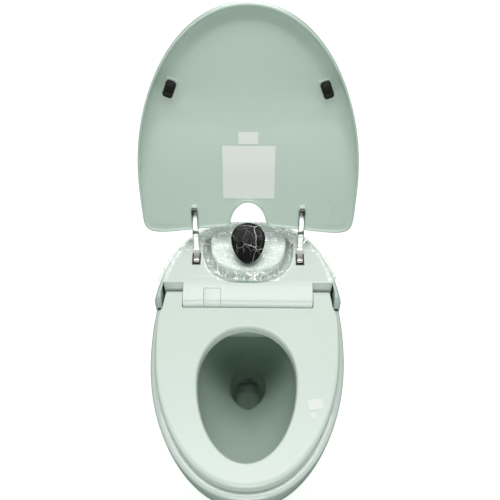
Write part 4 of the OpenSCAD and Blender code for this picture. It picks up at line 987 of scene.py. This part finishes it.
# ---------- inside of the seat unit ----------
# Chassis, hinges, wash and dry works, water and electrics, under the covers. Moulded grey and white plastic,
# plated steel, brass, a copper foil and a green board.
grey_plastic = plastic("grey_plastic", (0.27, 0.29, 0.30), (0.22, 0.24, 0.25), 0.4, 0.8)
green_plastic = plastic("green_plastic", (0.30, 0.45, 0.38), (0.26, 0.40, 0.33), 0.4, 0.8)
brass = metal("brass", (0.70, 0.52, 0.24), 0.25, 300)
foil = metal("foil", (0.72, 0.45, 0.28), 0.3, 500)
board_green = plastic("board_green", (0.05, 0.24, 0.13), (0.03, 0.17, 0.09), 0.35, 0.4)
dress(grey_plastic, 0, "chassis", "wand_guide", "dryer_duct", "fan_housing", "heater_tank", "wash_pump",
      "control_box", "seat_dampers", "lid_dampers")
dress(zinc_steel, 0, "hinge_brackets", "wand_motor", "fan_motor", "seat_pins", "lid_pins", "head_spring")
dress(metal("black_steel", (0.020, 0.021, 0.020), 0.35, 500), 0, "bumper_screws")
dress(white_plastic, 0, "wash_wand", "fan_wheel", "inlet_valve", "flush_valve", "seat_bushes", "cord_gland")
dress(seal_rubber, 0, "flush_elbow", "seat_buffers")
dress(green_plastic, 0, "scent_cartridge")
dress(brass, 0, "inlet_fitting")
dress(foil, 0, "seat_heater")
dress(board_green, 0, "control_board")

# ---------- transit film ----------
# Thin clear film left by the maker over the platform, the recess and the rear cover, creased and clinging.
# One sheet lies over the rear with a hole for the flush head, and one is drawn over the head.
film_thick, film_gap, film_loose, film_front = 0.00015, 0.0014, 0.005, 0.096
film_wide, film_long, film_line, wrap_gap = 0.44, 0.196, 0.188, 0.0009
edge_band, edge_drop, edge_run, sag = 0.016, 0.020, 0.021, 0.011


def oval_share(x, y, half, front_y, back_y):
    """1 on the outline of the platform or the recess, less inside it."""
    front, back = recess_powers
    reach, power = (recess_line - front_y, front) if y < recess_line else (back_y - recess_line, back)
    return ((abs(x) / half) ** power + (abs(y - recess_line) / reach) ** power) ** (1 / power)


def film_height(x, y):
    """Height of the film over the deck, the recess, the platform and the rounded edge of the rear cover."""
    top = mix(deck_z(y), shoulder_height + tilt * (y - 0.1), eased((y - deck_back + 0.004) / 0.014))
    platform = oval_share(x, y, platform_half, platform_front, platform_back)
    recess = oval_share(x, y, recess_half, recess_front, recess_back + 0.010)
    if platform <= 1:
        height = platform_top
    elif recess >= 1:
        height = top
    else:
        share = (platform - 1) / (platform - 1 + (1 - recess) * 1.1)
        height = mix(platform_top, top, share) - sag * sin(pi * share) ** 0.8
    edge = ((abs(x) / body_half) ** back_power + (abs(y - body_line) / body_back) ** back_power) ** (1 / back_power)
    over = (edge - 1) * hypot(x, y - body_line) / edge + edge_band
    if over > 0:
        height -= edge_drop * (over / edge_run) ** 2.2
    spot = Vector((x, y, 0))
    wrinkle = sum(size * (1 - abs(noise.noise(spot * scale + Vector((scale, 3, 7)))) * 3.2)
                  for scale, size in ((28, 0.0012), (60, 0.0007), (130, 0.0003)))
    return height + film_gap + max(0.0, wrinkle)


bpy.ops.mesh.primitive_grid_add(x_subdivisions=260, y_subdivisions=130, size=1)
film = bpy.context.object
film.name = "film_rear"
for vert in film.data.vertices:
    x, y = vert.co.x * film_wide, film_line + vert.co.y * film_long
    vert.co = (x, y, film_height(x, y))
apply_modifier(film, "SOLIDIFY", thickness=film_thick, offset=0)
limit = prism(body_plan(-film_loose, 0, 256), 0.3, 0.6)
carve(limit, block((-0.3, film_front, 0.2), (0.3, 0.4, 0.7)), "INTERSECT")
carve(film, limit, "INTERSECT")
free = prism(body_plan(0.019), 0.2, 0.7)
carve(free, block((-0.3, 0.02, 0.1), (0.3, 0.177, 0.8)), "INTERSECT")
carve(free, prism(oval_plan(recess_half + 0.002, recess_front - 0.007, 0.260), 0.15, 0.75))
carve(film, free)
carve(film, prism(egg_plan(0.033, 0.034, 0.030, 0, 64, 0.156, (2, 2)), 0.4, 0.6))
smooth(film, 60)
hem = [head_ring(-wrap_gap - 0.0012 * step, cap_foot - 0.0010 - 0.002 * step) for step in (1, 0)]
wrap = draw_skin("film_head", hem + cap_rings(wrap_gap), (False, True))
apply_modifier(wrap, "SOLIDIFY", thickness=film_thick, offset=0)
smooth(wrap, 60)

clear_film, place = start_finish("clear_film")
warp = place.noise(16.0, 2.0, out=1)
bent = warp.node("VectorMath", {"operation": "SCALE"}, {0: warp, "Scale": 0.030})
bent = bent.node("VectorMath", {"operation": "ADD"}, {0: place, 1: bent})


def crease(scale, width):
    """Thin lines where the cells of a crumpled sheet meet, fading in and out along their length."""
    cell = bent.node("TexVoronoi", {"feature": "DISTANCE_TO_EDGE"}, {"Vector": bent, "Scale": scale})
    fade = place.noise(scale * 0.8, 2).band(0.40, 0.60)
    return (1.0 - cell.band(0.0, width * scale)) * fade


on_head = place.axis(2).band(0.4745, 0.4785)
loose = 1.0 - on_head
folds = crease(22.0, 0.0007) * (1.0 - 0.65 * on_head) + crease(46.0, 0.0008) * (0.10 + 0.90 * loose)
fine = crease(95.0, 0.0006) * loose
# The creases are real folds and give the bump; the white, nearly opaque and metallic colour along them is painted
# highlight.
lines = folds.calc("MINIMUM", folds + 0.7 * fine, 1.0)
feed(clear_film, Base_Color=(0.97, 0.99, 0.975, 1), Roughness=0.22 + 0.1 * fine, Metallic=0.85 * lines,
     Alpha=0.17 * loose + 0.80 * lines, Normal=bump(lines, 0.25, 0.0006))
finish_piece(film, clear_film, "body", "clear_film", "protective_film")
finish_piece(wrap, clear_film, "body", "clear_film")
for piece in (film, wrap):
    piece.visible_shadow = False
